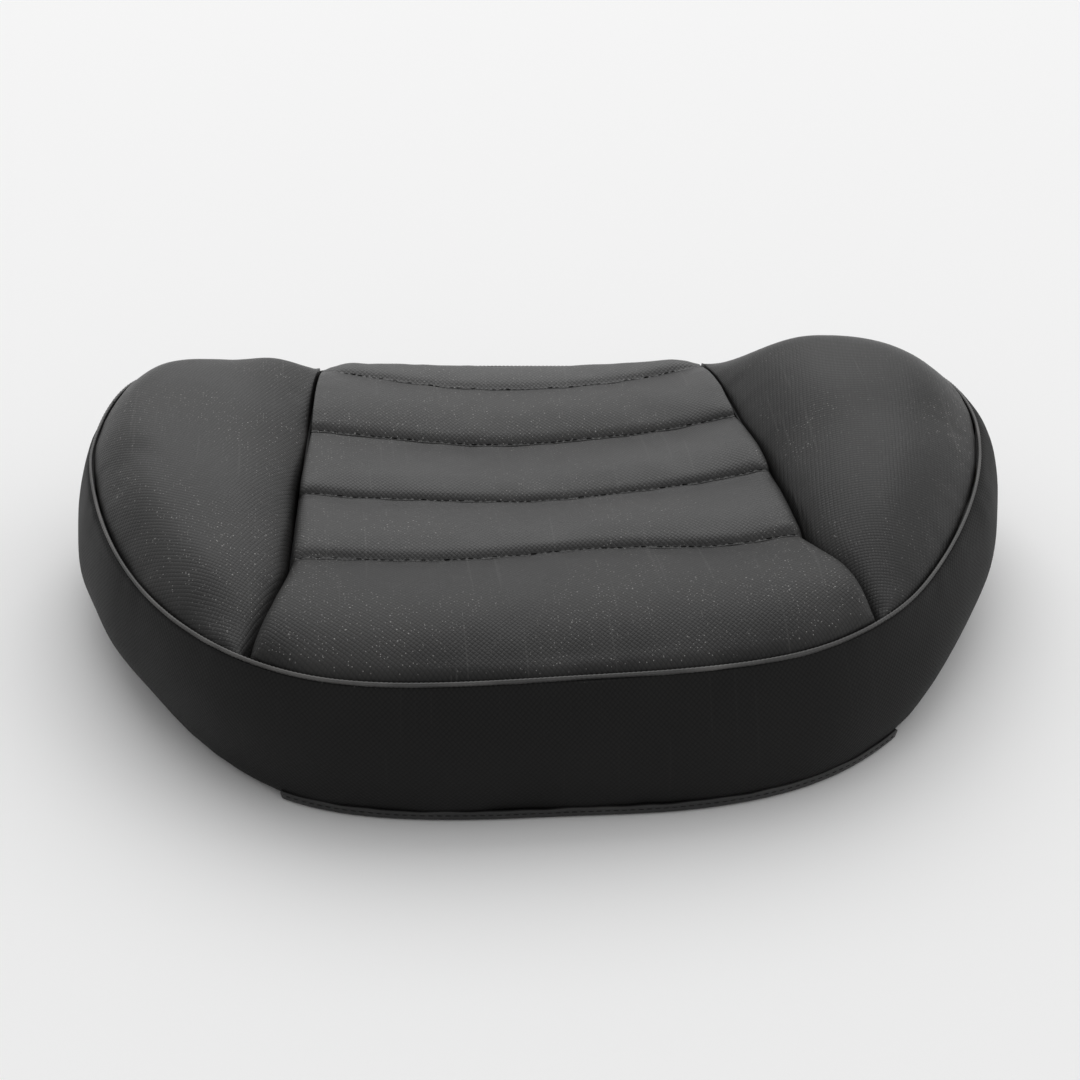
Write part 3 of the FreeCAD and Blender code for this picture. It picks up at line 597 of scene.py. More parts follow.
def centre_panel(name, node, first, last, height, gloss):
    """One panel of the centre; first and last number its cross seams."""
    sides = centre_outline(first, last)
    front = AT_EDGE if first is None else AT_LIP
    rear = AT_EDGE if last is None else AT_FOLD
    seam = -1 if first is None else first
    seeds = (seam, seam + 1, seam + LEFT_TRENCH_SEED, seam + RIGHT_TRENCH_SEED)
    edges = list(zip(seeds, sides, (front, rear, AT_TRENCH, AT_TRENCH)))
    return {"name": name, "nodes": [node], "sides": sides, "edges": edges, "height": height,
            "lip": first is not None, "turn": WEAVE_TURN, "gloss": gloss}


def bolster_panel(name, node, side, turn, gloss):
    """The padded lobe on one side; the left one is the right one mirrored."""
    front, rear, trench, outer = bolster_outline()
    edge = np.concatenate([front[:-1], outer, rear[-2::-1]])
    edges = [(BOLSTER_TRENCH_SEED, trench, BOLSTER_AT_TRENCH), (EDGE_SEED, edge, AT_EDGE)]
    sides = (front, rear, trench, outer)
    if side < 0:
        edges = [(seed + 1, mirrored_x(line), rounding) for seed, line, rounding in edges]
        sides = (mirrored_x(front)[::-1], mirrored_x(rear)[::-1], mirrored_x(outer),
                 mirrored_x(trench))
    return {"name": name, "nodes": [node], "sides": sides, "edges": edges,
            "height": bolster_height(side), "lip": False, "turn": turn, "gloss": gloss}


# Each panel gets its own copy of the vinyl. Their different gloss levels are painted light and shade:
# they make some panels brighter and others darker, standing in for how the light falls on them.
TOP_PANELS = [
    centre_panel("Front_roll", "front_roll_panel", None, 0, front_roll_height, gloss=0.25),
    centre_panel("Front_channel", "front_channel_panel", 0, 1, channel_height(0), gloss=0.38),
    centre_panel("Middle_channel", "middle_channel_panel", 1, 2, channel_height(1), gloss=0.41),
    centre_panel("Rear_channel", "rear_channel_panel", 2, 3, channel_height(2), gloss=0.39),
    centre_panel("Rear_roll", "rear_roll_panel", 3, None, rear_roll_height, gloss=0.60),
    bolster_panel("Left_bolster", "left_bolster", -1, turn=28, gloss=0.31),
    bolster_panel("Right_bolster", "right_bolster", 1, turn=8, gloss=0.24),
]

# --- the boxing ---

BOXING_BOTTOM = 1.2
BOXING_TOP_BELOW_SEAM = 1.0
# How far the boxing bulges half way down: everywhere, more at the sides and more at the front.
BOXING_BULGE = 5.0
SIDE_BULGE = {1: 10.0, -1: 4.0}
SIDE_SKEW = 0.85
SIDE_FLATTENS = 0.8
FRONT_BULGE = 3.0
# How far its foot is tucked in at the sides and flares out at the front and in its middle.
SIDE_TUCK = 8.0
FRONT_FLARE = 4.0
MIDDLE_FLARE = 6.0
MIDDLE_SKEW = 0.9
# Where the sides, the front and the middle of the front start and end, along x or y.
SIDE_GROWS = ((120, 230), (-140, -20))
SIDE_ENDS = (110, 150)
FRONT_GROWS = (60, 140)
MIDDLE_SPAN = (30, 190)
CORNER_GROWS = (25, 100)
# Over which share of the way down the tuck, the corners and the front's right half grow.
TUCK_DOWN = (0.6, 1)
CORNER_DOWN = (0.1, 0.8)
RIGHT_DOWN = (0.3, 1)
# Unevenness of the front corners and of the front's right half: size, place along x, spread.
CORNERS = [(5.5, 200, 45), (-2.5, -200, 50)]
RIGHT_FRONT = [(4.5, 70, 90)]
WELT_ROOM_DEPTH = 0.3
BOXING_HEAD = (1.6, 0.6)
BOXING_END = (3.0, 2.2)
BOXING_FOOT = (7.0, 4.5)
SEAM_STEP = np.linalg.norm(SEAM[1] - SEAM[0])
SEAM_LENGTH = SEAM_STEP * SEAM_SAMPLES


def seam_at(run):
    """Place, outward direction and height of the edge seam, at distances from its front middle."""
    where = (run / SEAM_STEP) % SEAM_SAMPLES
    low = where.astype(int) % SEAM_SAMPLES
    share = (where % 1)[:, None]
    after = (low + 1) % SEAM_SAMPLES
    place, out = (between(line[low], line[after], share) for line in (SEAM, SEAM_OUT))
    return place, out, seam_height(place[:, 1])


def boxing_bulge(place, down):
    """How far the boxing stands out from the seam above it; down runs from 0 at the top to 1."""
    x, y = place[:, 0], place[:, 1]
    half_wave = np.sin(math.pi * down)
    side = grown(np.abs(x), y, SIDE_GROWS) * (1 - ease(*SIDE_ENDS, y))
    side_bulge = np.where(x > 0, SIDE_BULGE[1], SIDE_BULGE[-1]) * np.sin(
        math.pi * down ** SIDE_SKEW) ** SIDE_FLATTENS
    front = ease(*FRONT_GROWS, -y)
    middle = MIDDLE_FLARE * (1 - ease(*MIDDLE_SPAN, np.abs(x))) * down ** MIDDLE_SKEW
    right = bumps(x, RIGHT_FRONT) * ease(*RIGHT_DOWN, down)
    corner = bumps(x, CORNERS) * ease(*CORNER_GROWS, -y) * ease(*CORNER_DOWN, down)
    return (side * (side_bulge - SIDE_TUCK * ease(*TUCK_DOWN, down)) + corner + BOXING_BULGE * half_wave
            + front * (middle + right + FRONT_BULGE * half_wave + FRONT_FLARE * down))


def boxing_place(run, up):
    """Seam points, outward directions, heights and offsets of the boxing, without its loose folds."""
    place, out, top = seam_at(run)
    down = (1 - up)[:, None]
    height = between(BOXING_BOTTOM, top - BOXING_TOP_BELOW_SEAM, up[:, None])
    offset = boxing_bulge(place, down) + WELT_ROOM * (1 - ease(0, WELT_ROOM_DEPTH, down))
    offset = offset - shoulder(height - BOXING_BOTTOM, *BOXING_FOOT)
    return place, out, height, offset


def boxing_sheets(start, end, across, up):
    """The sheets of the boxing between two distances along the seam, and its place on the weave."""
    run = start + (end - start) * across
    place, out, height, offset = boxing_place(run, up)
    from_top = height[-1:] - height
    from_foot = height - BOXING_BOTTOM
    from_end = np.minimum(run - start, end - run)[None]
    offset = offset - shoulder(from_top, *BOXING_HEAD) - shoulder(from_end, *BOXING_END)
    for seed, away in ((HEAD_SEED, from_top), (FOOT_SEED, from_foot)):
        gather = ripples(run, seed, PUCKER_LENGTHS)[None]
        offset = offset + PUCKER * gather * np.exp(-away / PUCKER_REACH)
    offset = offset + UNEVENNESS * hollows(run[None], height, BOXING_SEED, UNEVEN_LENGTH)

    sheets = [raised(place + out * (offset - shift)[..., None], height) for shift in (0, SKIN)]
    return *sheets, np.stack([np.broadcast_to(run[None], height.shape), height], -1)


# --- meshes ---

def border(index):
    """What lies round the edge of a grid, counter-clockwise seen from its outer side."""
    return np.concatenate([index[0, :-1], index[:-1, -1], index[-1, :0:-1], index[:0:-1, 0]])


def mesh_object(name, points, faces, uv=None, smooth=True):
    """A mesh object from points in millimetres."""
    mesh = bpy.data.meshes.new(name)
    mesh.from_pydata((points * MM).tolist(), [], [list(map(int, face)) for face in faces])
    if uv is not None:
        layer = mesh.uv_layers.new(name="Weave")
        corners = np.empty(len(mesh.loops), int)
        mesh.loops.foreach_get("vertex_index", corners)
        layer.data.foreach_set("uv", (uv * MM)[corners].astype(np.float32).ravel())
    mesh.polygons.foreach_set("use_smooth", [smooth] * len(mesh.polygons))
    mesh.validate()
    made = bpy.data.objects.new(name, mesh)
    bpy.context.scene.collection.objects.link(made)
    return made


def slab_parts(outer, inner):
    """Points and faces of a closed body between two sheets, and which points of it are sewn."""
    index = np.arange(outer[..., 0].size).reshape(outer.shape[:2])
    face = np.stack([index[:-1, :-1], index[:-1, 1:], index[1:, 1:], index[1:, :-1]], -1).reshape(-1, 4)
    edge = border(index)
    after = np.roll(edge, -1)
    walls = np.stack([edge, edge + index.size, after + index.size, after], 1)
    points = np.concatenate([outer.reshape(-1, 3), inner.reshape(-1, 3)])
    sewn = np.concatenate([edge, index.ravel() + index.size])
    return points, np.concatenate([face, face[:, ::-1] + index.size, walls]), sewn


def slab(name, outer, inner, uv):
    points, faces, _ = slab_parts(lean(outer), lean(inner))
    flat = uv.reshape(-1, 2)
    return mesh_object(name, points, faces, np.concatenate([flat, flat]))


def tube_parts(rings):
    """Points and faces of a closed tube through rings of points, each ring a row."""
    index = np.arange(rings.shape[0] * rings.shape[1]).reshape(rings.shape[:2])
    after = np.roll(index, -1, 1)
    walls = np.stack([index[:-1], after[:-1], after[1:], index[1:]], -1).reshape(-1, 4)
    return rings.reshape(-1, 3), [*walls.tolist(), index[0, ::-1].tolist(), index[-1].tolist()]


def subdivided(piece):
    modifier = piece.modifiers.new("Subdivision", "SUBSURF")
    modifier.levels = 1
    modifier.render_levels = 1
    return piece


def finished(piece, material, replaced=()):
    """Gives a piece its material and its place in the frame."""
    piece.data.materials.append(material)
    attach(piece, "root")
    if replaced:
        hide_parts(*replaced)
    return piece


# --- cloth simulation ---

SIM_CELL = 7.0
SIM_FRAMES = 20
SIM_CAP = 1.2
CLOTH_SETTINGS = {
    "quality": 5, "mass": 0.3, "tension_stiffness": 15, "compression_stiffness": 15,
    "shear_stiffness": 8, "bending_stiffness": 0.8, "use_pressure": True,
    "uniform_pressure_force": 4.0, "shrink_min": -0.001, "vertex_group_mass": "sewn",
}


def even_shares(length, cell):
    return np.linspace(0, 1, max(4, round(length / cell)) + 1)


def cloth_body(name, outer, inner):
    """A closed cloth body: its inner sheet and its border are sewn down, and its face is free."""
    points, faces, sewn = slab_parts(outer, inner)
    body = mesh_object(name, points, faces)
    body.vertex_groups.new(name="sewn").add(sewn.tolist(), 1.0, "REPLACE")
    cloth = body.modifiers.new("Cloth", "CLOTH")
    for key, value in CLOTH_SETTINGS.items():
        setattr(cloth.settings, key, value)
    cloth.settings.effector_weights.gravity = 0.0
    cloth.collision_settings.use_collision = False
    cloth.point_cache.frame_start = 1
    cloth.point_cache.frame_end = SIM_FRAMES
    return body


def swollen(sheets):
    """How far the face of each sheet swells as cloth, as grids of shifts in millimetres."""
    scene = bpy.context.scene
    bodies = [cloth_body(f"Cloth_{i}", *pair) for i, pair in enumerate(sheets)]
    for number in range(1, SIM_FRAMES + 1):
        scene.frame_set(number)
    graph = bpy.context.evaluated_depsgraph_get()
    shifts = []
    for body, (outer, _) in zip(bodies, sheets):
        mesh = body.evaluated_get(graph).data
        found = np.empty(len(mesh.vertices) * 3, np.float32)
        mesh.vertices.foreach_get("co", found)
        face = found.reshape(-1, 3)[:outer.shape[0] * outer.shape[1]].astype(float) / MM
        shift = face.reshape(outer.shape) - outer
        size = np.linalg.norm(shift, axis=-1, keepdims=True)
        shifts.append(shift * np.minimum(1, SIM_CAP / np.maximum(size, 1e-6)))
    scene.frame_set(1)
    for body in bodies:
        bpy.data.objects.remove(body)
    return shifts


def read_grid(values, rows, columns):
    """Values of an evenly spaced grid, read at rows and columns given as shares of its sides."""
    r = np.clip(rows * (values.shape[0] - 1), 0, values.shape[0] - 1 - 1e-9)
    c = np.clip(columns * (values.shape[1] - 1), 0, values.shape[1] - 1 - 1e-9)
    i = r.astype(int)[:, None]
    j = c.astype(int)[None]
    a = (r % 1)[:, None, None]
    b = (c % 1)[None, :, None]
    return between(*(between(values[row, j], values[row, j + 1], b) for row in (i, i + 1)), a)


# --- materials ---

def put(tree, socket, value):
    """Links a socket to another one, or gives it a value."""
    if isinstance(value, bpy.types.NodeSocket):
        tree.links.new(value, socket)
    else:
        socket.default_value = value


def add(tree, kind, inputs=(), **settings):
    """Adds a shader node. Its inputs are values, or sockets to link."""
    made = tree.nodes.new("ShaderNode" + kind)
    for key, value in settings.items():
        setattr(made, key, value)
    for key, value in dict(inputs).items():
        put(tree, made.inputs[key], value)
    return made


def calc(tree, operation, first, second=0.0):
    return add(tree, "Math", {0: first, 1: second}, operation=operation).outputs[0]


def ramp(tree, value, low, high, start=0.0, end=1.0):
    """Maps low to start and high to end, smoothly, and stays there beyond them."""
    made = add(tree, "MapRange", {0: value, 1: low, 2: high, 3: start, 4: end},
               interpolation_type="SMOOTHSTEP")
    return made.outputs["Result"]


def mixed(tree, share, first, second):
    made = add(tree, "Mix", data_type="RGBA")
    for number, value in ((0, share), (6, first), (7, second)):
        put(tree, made.inputs[number], value)
    return made.outputs[2]


def noise(tree, place, scale, detail):
    """Noise of this many waves a unit, from 0 to 1 and 0.5 on average."""
    made = add(tree, "TexNoise", {"Vector": place, "Scale": scale, "Detail": detail})
    return made.outputs[0]


def grey(level, warmth=0.0):
    return (level * (1 + warmth), level, level * (1 - warmth), 1)


def surface(name):
    """A new material, its node tree and its surface shader."""
    material = bpy.data.materials.new(name)
    material.use_nodes = True
    tree = material.node_tree
    return material, tree, tree.nodes["Principled BSDF"]


def bumped(tree, shader, height, strength, depth):
    """Roughens a shader's surface by a height from 0 to 1, this many millimetres deep."""
    made = add(tree, "Bump", {"Height": height, "Strength": strength, "Distance": depth * MM})
    tree.links.new(made.outputs[0], shader.inputs["Normal"])


# A dust speck's width as a share of the cell that holds it, and its soft edge as shares of that.
SPECK_SHARE = 0.3
SPECK_EDGE = (0.25, 0.625)
PICK_EDGE = 0.02


def spots(tree, uv, size, share):
    """Small round specks about this many millimetres across, in a share of the cells of a net."""
    cells = add(tree, "TexVoronoi", {"Vector": uv, "Scale": SPECK_SHARE / (size * MM)},
                voronoi_dimensions="2D")
    near = ramp(tree, cells.outputs["Distance"], *(SPECK_SHARE * edge for edge in SPECK_EDGE), 1.0, 0.0)
    pick = add(tree, "SeparateXYZ", {0: cells.outputs["Color"]}).outputs["X"]
    chosen = ramp(tree, pick, 1 - share, 1 - share + PICK_EDGE)
    return calc(tree, "MULTIPLY", near, chosen)


WEAVE_PITCH = 1.85
# How far the rows stray, in pitches, over how many waves a metre.
WEAVE_WOBBLE = (0.5, 0.5, 0.5)
WOBBLE_SCALE = 60.0
PILLOW_FLATTENS = 0.4


def weave(tree, uv, turn):
    """Height of an embossed weave: rows of little pillows with grooves between them."""
    scale = 1 / (WEAVE_PITCH * MM)
    turned = add(tree, "Mapping", {
        "Vector": uv, "Rotation": (0, 0, math.radians(turn)), "Scale": (scale, scale, 1)})
    wobble = add(tree, "TexNoise", {"Vector": uv, "Scale": WOBBLE_SCALE, "Detail": 2.0})
    moved = add(tree, "VectorMath", {0: wobble.outputs["Color"], 1: WEAVE_WOBBLE},
                operation="MULTIPLY_ADD")
    tree.links.new(turned.outputs[0], moved.inputs[2])
    parts = add(tree, "SeparateXYZ", {0: moved.outputs[0]})
    ridges = []
    for axis in ("X", "Y"):
        wave = calc(tree, "SINE", calc(tree, "MULTIPLY", parts.outputs[axis], math.pi))
        ridges.append(calc(tree, "ABSOLUTE", wave))
    return calc(tree, "POWER", calc(tree, "MULTIPLY", *ridges), PILLOW_FLATTENS)


# Dust specks: width, and the share of cells that hold one.
SPECKS = ((0.8, 0.05), (0.5, 0.18))
# The upward part of the surface's direction at which dust starts to lie, and lies fully.
DUST_SLOPE = (0.60, 0.80)
# Dust lies in patches: waves a metre, and the noise at which film and specks start and show fully.
PATCH_SCALE = 14.0
FILM_PATCH = (0.40, 0.70)
SPECK_PATCH = (0.40, 0.60)
# How much stronger specks are than the film of dust, outside the patches and in them.
SPECK_STRENGTH = (3, 16)
DUST = 0.30
SPECK = 0.34
# The grooves of the weave are painted darker by this share, as painted shade in the recesses, and specks
# are rougher than the cloth.
GROOVE_SHADE_LEVEL = 0.6
GROOVE_SHADE_SPAN = (0.2, 0.9)
ROUGH_PATCH = (0.3, 0.7)
ROUGH_SWING = 0.05
SPECK_ROUGH = 0.3
# Depth of the weave, and the fine grain on it: waves a metre, and a share of that depth.
WEAVE_DEPTH = 0.18
WEAVE_STRENGTH = 0.8
GRAIN_SCALE = 900.0
GRAIN_SHARE = 0.25
# Noise cells a metre across and along a scratch, and the noise at which one starts and shows.
SCRATCH_CELLS = (420.0, 9.0, 1.0)
SCRATCH_LEVELS = (0.67, 0.73)


def scratches(tree, uv):
    """Faint long scratches that run from front to rear."""
    stretched = add(tree, "VectorMath", {0: uv, 1: SCRATCH_CELLS}, operation="MULTIPLY")
    return ramp(tree, noise(tree, stretched.outputs[0], 1.0, 1.0), *SCRATCH_LEVELS)


def vinyl(name, level, turn, dust, gloss, rough):
    """Black coated fabric with an embossed weave whose grooves carry painted shade, a little dust and
    faint scratches.
    """
    material, tree, shader = surface(name)
    geometry = add(tree, "NewGeometry")
    place = geometry.outputs["Position"]
    uv = add(tree, "UVMap", uv_map="Weave").outputs[0]
    pillow = weave(tree, uv, turn)
    patches = noise(tree, place, PATCH_SCALE, 3.0)
    # painted shade: the colour is darkened in the grooves of the weave
    colour = mixed(tree, ramp(tree, pillow, *GROOVE_SHADE_SPAN), grey(level * GROOVE_SHADE_LEVEL), grey(level, 0.01))
    film = calc(tree, "MULTIPLY", ramp(tree, patches, *FILM_PATCH), dust)
    colour = mixed(tree, film, colour, grey(DUST, 0.03))
    marks = calc(tree, "MULTIPLY", scratches(tree, uv), dust)
    colour = mixed(tree, marks, colour, grey(DUST, 0.02))
    specks = 0.0
    for size, share in SPECKS:
        specks = calc(tree, "MAXIMUM", specks, spots(tree, uv, size, share))
    strength = ramp(tree, patches, *SPECK_PATCH, *(dust * times for times in SPECK_STRENGTH))
    specks = calc(tree, "MULTIPLY", specks, strength)
    facing = add(tree, "SeparateXYZ", {0: geometry.outputs["Normal"]}).outputs["Z"]
    specks = calc(tree, "MULTIPLY", specks, ramp(tree, facing, *DUST_SLOPE))
    tree.links.new(mixed(tree, specks, colour, grey(SPECK, 0.02)), shader.inputs["Base Color"])
    uneven = ramp(tree, patches, *ROUGH_PATCH, rough - ROUGH_SWING, rough + ROUGH_SWING)
    rough = calc(tree, "ADD", uneven, calc(tree, "MULTIPLY", specks, SPECK_ROUGH))
    tree.links.new(rough, shader.inputs["Roughness"])
    # the gloss differs between copies of this vinyl as painted light and shade
    shader.inputs["Specular IOR Level"].default_value = gloss
    grain = calc(tree, "MULTIPLY", noise(tree, place, GRAIN_SCALE, 2.0), GRAIN_SHARE)
    bumped(tree, shader, calc(tree, "ADD", pillow, grain), WEAVE_STRENGTH, WEAVE_DEPTH)
    return material


# Wear lies in patches: waves a metre, the noise over which it shows, and the swing in roughness.
WORN_SCALE = 25.0
WORN_PATCH = (0.45, 0.70)
WORN_SWING = 0.06
GRAIN_STRENGTH = 0.6


def grained(name, colour, rough, scale, depth, metal=0.0, worn=None, gloss=0.5):
    """A plain material with a fine grain; worn is a second colour that shows in patches."""
    material, tree, shader = surface(name)
    place = add(tree, "NewGeometry").outputs["Position"]
    patches = noise(tree, place, WORN_SCALE, 5.0)
    tone = mixed(tree, ramp(tree, patches, *WORN_PATCH), colour, worn or colour)
    tree.links.new(tone, shader.inputs["Base Color"])
    uneven = ramp(tree, patches, *ROUGH_PATCH, rough - WORN_SWING, rough + WORN_SWING)
    tree.links.new(uneven, shader.inputs["Roughness"])
    shader.inputs["Metallic"].default_value = metal
    shader.inputs["Specular IOR Level"].default_value = gloss
    bumped(tree, shader, noise(tree, place, scale, 4.0), GRAIN_STRENGTH, depth)
    return material


# --- soft pieces ---

PANEL_CELL = 5.5
BOXING_CELL = 6.0


def boxing_spans():
    """Where the front and the rear boxing start and end along the seam."""
    join = np.argmax(SEAM_RIGHT[:, 1] > BOXING_JOIN) * SEAM_STEP
    return {"front": (-join + FOLD_GAP, join - FOLD_GAP),
            "rear": (join + FOLD_GAP, SEAM_LENGTH - join - FOLD_GAP)}


def padded_sheets(spacing, top_cell, side_cell):
    """By name, the row and column shares of each padded piece, its sheets and its weave's place."""
    sheets = {}
    for panel in TOP_PANELS:
        front, rear, left, right = map(line_length, panel["sides"])
        across = spacing(max(front, rear), top_cell)
        along = spacing(max(left, right), top_cell)
        sheets[panel["name"]] = (along, across, *top_sheets(panel, across, along), None)
    for part, (start, end) in boxing_spans().items():
        across = spacing(end - start, side_cell)
        up = spacing(BOXING_HIGH[2], side_cell)
        sheets[f"{part.capitalize()}_boxing"] = (up, across, *boxing_sheets(start, end, across, up))
    return sheets


def make_cover():
    """The padded pieces, which have first swollen as cloth."""
    shifts = {}
    loose = padded_sheets(even_shares, SIM_CELL, BOXING_CELL)
    shifts = dict(zip(loose, swollen([sheets[2:4] for sheets in loose.values()])))
    looks = {f"{part.capitalize()}_boxing": ("boxing_vinyl", [f"{part}_boxing"], 0.8)
             for part in boxing_spans()}
    # The boxing's vinyl is a darker, less glossy copy of the top's vinyl: painted shade on the boxing,
    # whose sides face away from the light.
    boxing = vinyl("Shaded_boxing_vinyl", level=0.0125, turn=WEAVE_TURN, dust=0.008, gloss=0.13, rough=0.6)
    materials = {name: boxing for name in looks}
    for panel in TOP_PANELS:
        looks[panel["name"]] = ("cover_vinyl", panel["nodes"], 0.85)
        # painted light and shade: each panel's copy of the vinyl has its own gloss
        materials[panel["name"]] = vinyl(panel["name"] + "_vinyl", level=0.018, turn=panel["turn"],
                                         dust=0.05, gloss=panel["gloss"], rough=0.45)
    for name, (rows, columns, outer, inner, place) in padded_sheets(
            grid_shares, PANEL_CELL, BOXING_CELL).items():
        if name in shifts:
            outer = outer + read_grid(shifts[name], rows, columns)
        piece = subdivided(slab(name, outer, inner, outer[..., :2] if place is None else place))
        slot, nodes, fill = looks[name]
        finished(piece, materials[name], nodes)


# --- welt and stitches ---

WELT_SIDES = 12
WELT_STEP = 0.6
# Length of one turn of the cord, and how far it stands out, as a share of its radius.
WELT_TWIST = 4.6
WELT_RIBS = 0.13
# The lowest points of a section, below this sine, make a flange this deep and half this thick.
FLANGE_BELOW = -0.9
WELT_FLANGE = 5.0
FLANGE_HALF = 0.35
WELT_RISE = 0.2


def welt_rings(start, end):
    """Sections of the piping: a twisted cord with a thin flange that dives into the seam."""
    run = np.linspace(start, end, round((end - start) / WELT_STEP))
    place, out, top = seam_at(run)
    angle = np.linspace(0, 2 * math.pi, WELT_SIDES, endpoint=False) + math.pi / WELT_SIDES
    twist = np.cos(2 * (angle[None] - 2 * math.pi * run[:, None] / WELT_TWIST))
    radius = WELT_RADIUS * (1 + WELT_RIBS * twist)
    flange = np.sin(angle) < FLANGE_BELOW
    aside = np.where(flange, -np.sign(np.cos(angle)) * FLANGE_HALF, -radius * np.cos(angle))
    rise = np.where(flange, -WELT_FLANGE, radius * np.sin(angle))
    return lean(raised(place[:, None] + out[:, None] * aside[..., None], top[:, None] + WELT_RISE + rise))


def make_welts():
    material = grained("Welt_vinyl", grey(0.05, 0.02), rough=0.5, scale=600.0, depth=0.1,
                       worn=grey(0.11, 0.03))
    for part, span in boxing_spans().items():
        piece = mesh_object(f"{part.capitalize()}_welt", *tube_parts(welt_rings(*span)))
        finished(piece, material, [f"{part}_welt"])


STITCH_LENGTH = 3.3
STITCH_RADIUS = 0.34
STITCH_SIDES = 6
# Along a stitch: where, how thick, how far it has dipped into the cloth; as shares.
STITCH_RINGS = [(-0.5, 0.35, 1.0), (-0.46, 0.8, 0.75), (-0.3, 1.0, 0.2), (0, 1.0, 0),
                (0.3, 1.0, 0.2), (0.46, 0.8, 0.75), (0.5, 0.35, 1.0)]
STITCH_DIP = 0.5
STITCH_LIFT = 0.12
CROSS_STITCH_UP = (0.0, -0.25, 1.0)
REAR_STITCHES_END = REAR_CORNER - 12


def stitch_rings(centre, along, up):
    aside = np.cross(along, up)
    angle = np.linspace(0, 2 * math.pi, STITCH_SIDES, endpoint=False)[:, None]
    ring = np.cos(angle) * aside - np.sin(angle) * up
    return np.stack([centre + along * STITCH_LENGTH * where - up * STITCH_DIP * dip
                     + ring * STITCH_RADIUS * thick for where, thick, dip in STITCH_RINGS])


def make_stitches(name, centres, ups, material):
    """A row of stitches through centres, each along the row."""
    points = []
    faces = []
    for i, centre in enumerate(centres):
        ahead = centres[min(i + 1, len(centres) - 1)] - centres[max(i - 1, 0)]
        along = ahead / np.linalg.norm(ahead)
        up = ups[i] - along * np.dot(along, ups[i])
        ring_points, ring_faces = tube_parts(stitch_rings(centre, along, up / np.linalg.norm(up)))
        first = i * len(ring_points)
        points.append(ring_points)
        faces += [[first + corner for corner in face] for face in ring_faces]
    finished(mesh_object(name, np.concatenate(points), faces), material)


def cross_stitches(number, material):
    """The topstitching behind one cross seam."""
    panel = TOP_PANELS[number + 1]
    line = cross_line(number, FOLD_GAP + LIP_STITCH)
    count = round(line_length(line) / STITCH_PITCH)
    plan = resampled(line, (np.arange(count) + 0.5) / count)[1:-1]
    if number == REARMOST:
        plan = plan[np.abs(plan[:, 0]) < REAR_STITCHES_END]
    height, drop = top_height(panel, plan)
    centres = lean(raised(plan, height - drop + STITCH_LIFT))
    ups = np.tile(CROSS_STITCH_UP, (len(centres), 1))
    make_stitches(f"Cross_stitches_{number + 1}", centres, ups, material)


# --- hem strip ---

HEM_LOW, HEM_HIGH = box_mm("front_hem_strip")
HEM_HEIGHT = 5.6
HEM_THICK = 1.3
HEM_LIFT = 0.5
HEM_STEP = 2.0
HEM_STITCH_HEIGHT = 3.4
HEM_STITCH_UP = 0.2
HEM_WAVE = 0.25
HEM_WAVE_LENGTHS = (19.0, 31.0, 57.0)
# The strip's ends in plan stand this far outside the seam's own x there.
HEM_ROOM = 4.0


def hem_line():
    """Distances along the seam from the left to the right end of the hem strip."""
    front = np.linspace(-SEAM_LENGTH / 3, SEAM_LENGTH / 3, 2000)
    x = seam_at(front)[0][:, 0]
    run = front[(x > HEM_LOW[0] + HEM_ROOM) & (x < HEM_HIGH[0] - HEM_ROOM)]
    return np.linspace(run[0], run[-1], round((run[-1] - run[0]) / HEM_STEP))


# Section of the strip: how far out and how high, as shares of its thickness and height.
HEM_SECTION = [(-0.4, 0.0), (0.55, 0.0), (0.9, 0.06), (1.0, 0.2), (1.0, 0.8), (0.85, 0.95),
               (0.5, 1.0), (-0.4, 1.0)]


def hem_surface(run):
    """Outward directions and the boxing's own points behind the foot and the top of the strip."""
    share = HEM_HEIGHT / BOXING_HIGH[2]
    place, out, height, offset = boxing_place(run, np.array([0.0, share * 0.5, share]))
    return place, out, offset[1], offset[2]


def make_hem(material, thread):
    run = hem_line()
    place, out, foot, top = hem_surface(run)
    thick, high = np.array(HEM_SECTION).T
    wave = HEM_WAVE * ripples(run, HEM_SEED, HEM_WAVE_LENGTHS)[:, None]
    offset = between(foot[:, None], top[:, None], high) + thick * HEM_THICK
    height = HEM_LIFT + high * (HEM_HEIGHT + wave)
    rings = lean(raised(place[:, None] + out[:, None] * offset[..., None], height))
    finished(mesh_object("Hem_strip", *tube_parts(rings)), material, ["front_hem_strip"])
    count = round((run[-1] - run[0]) / STITCH_PITCH)
    run = np.linspace(run[0] + STITCH_PITCH, run[-1] - STITCH_PITCH, count)
    place, out, foot, top = hem_surface(run)
    offset = between(foot, top, HEM_STITCH_HEIGHT / HEM_HEIGHT) + HEM_THICK
    centres = raised(place + out * offset[:, None], np.full(count, HEM_LIFT + HEM_STITCH_HEIGHT))
    make_stitches("Hem_stitches", lean(centres), raised(out, np.full(count, HEM_STITCH_UP)), thread)


# --- foam ---

FOAM_GAP = 1.2
FOAM_FOOT = 17.0
FOAM_TOP_SHARE = 0.62
FOAM_POINTS = 240
FOAM_SIDE_RINGS = 8
FOAM_CAP_SHARES = np.linspace(0.8, 0, 7)[:, None, None]


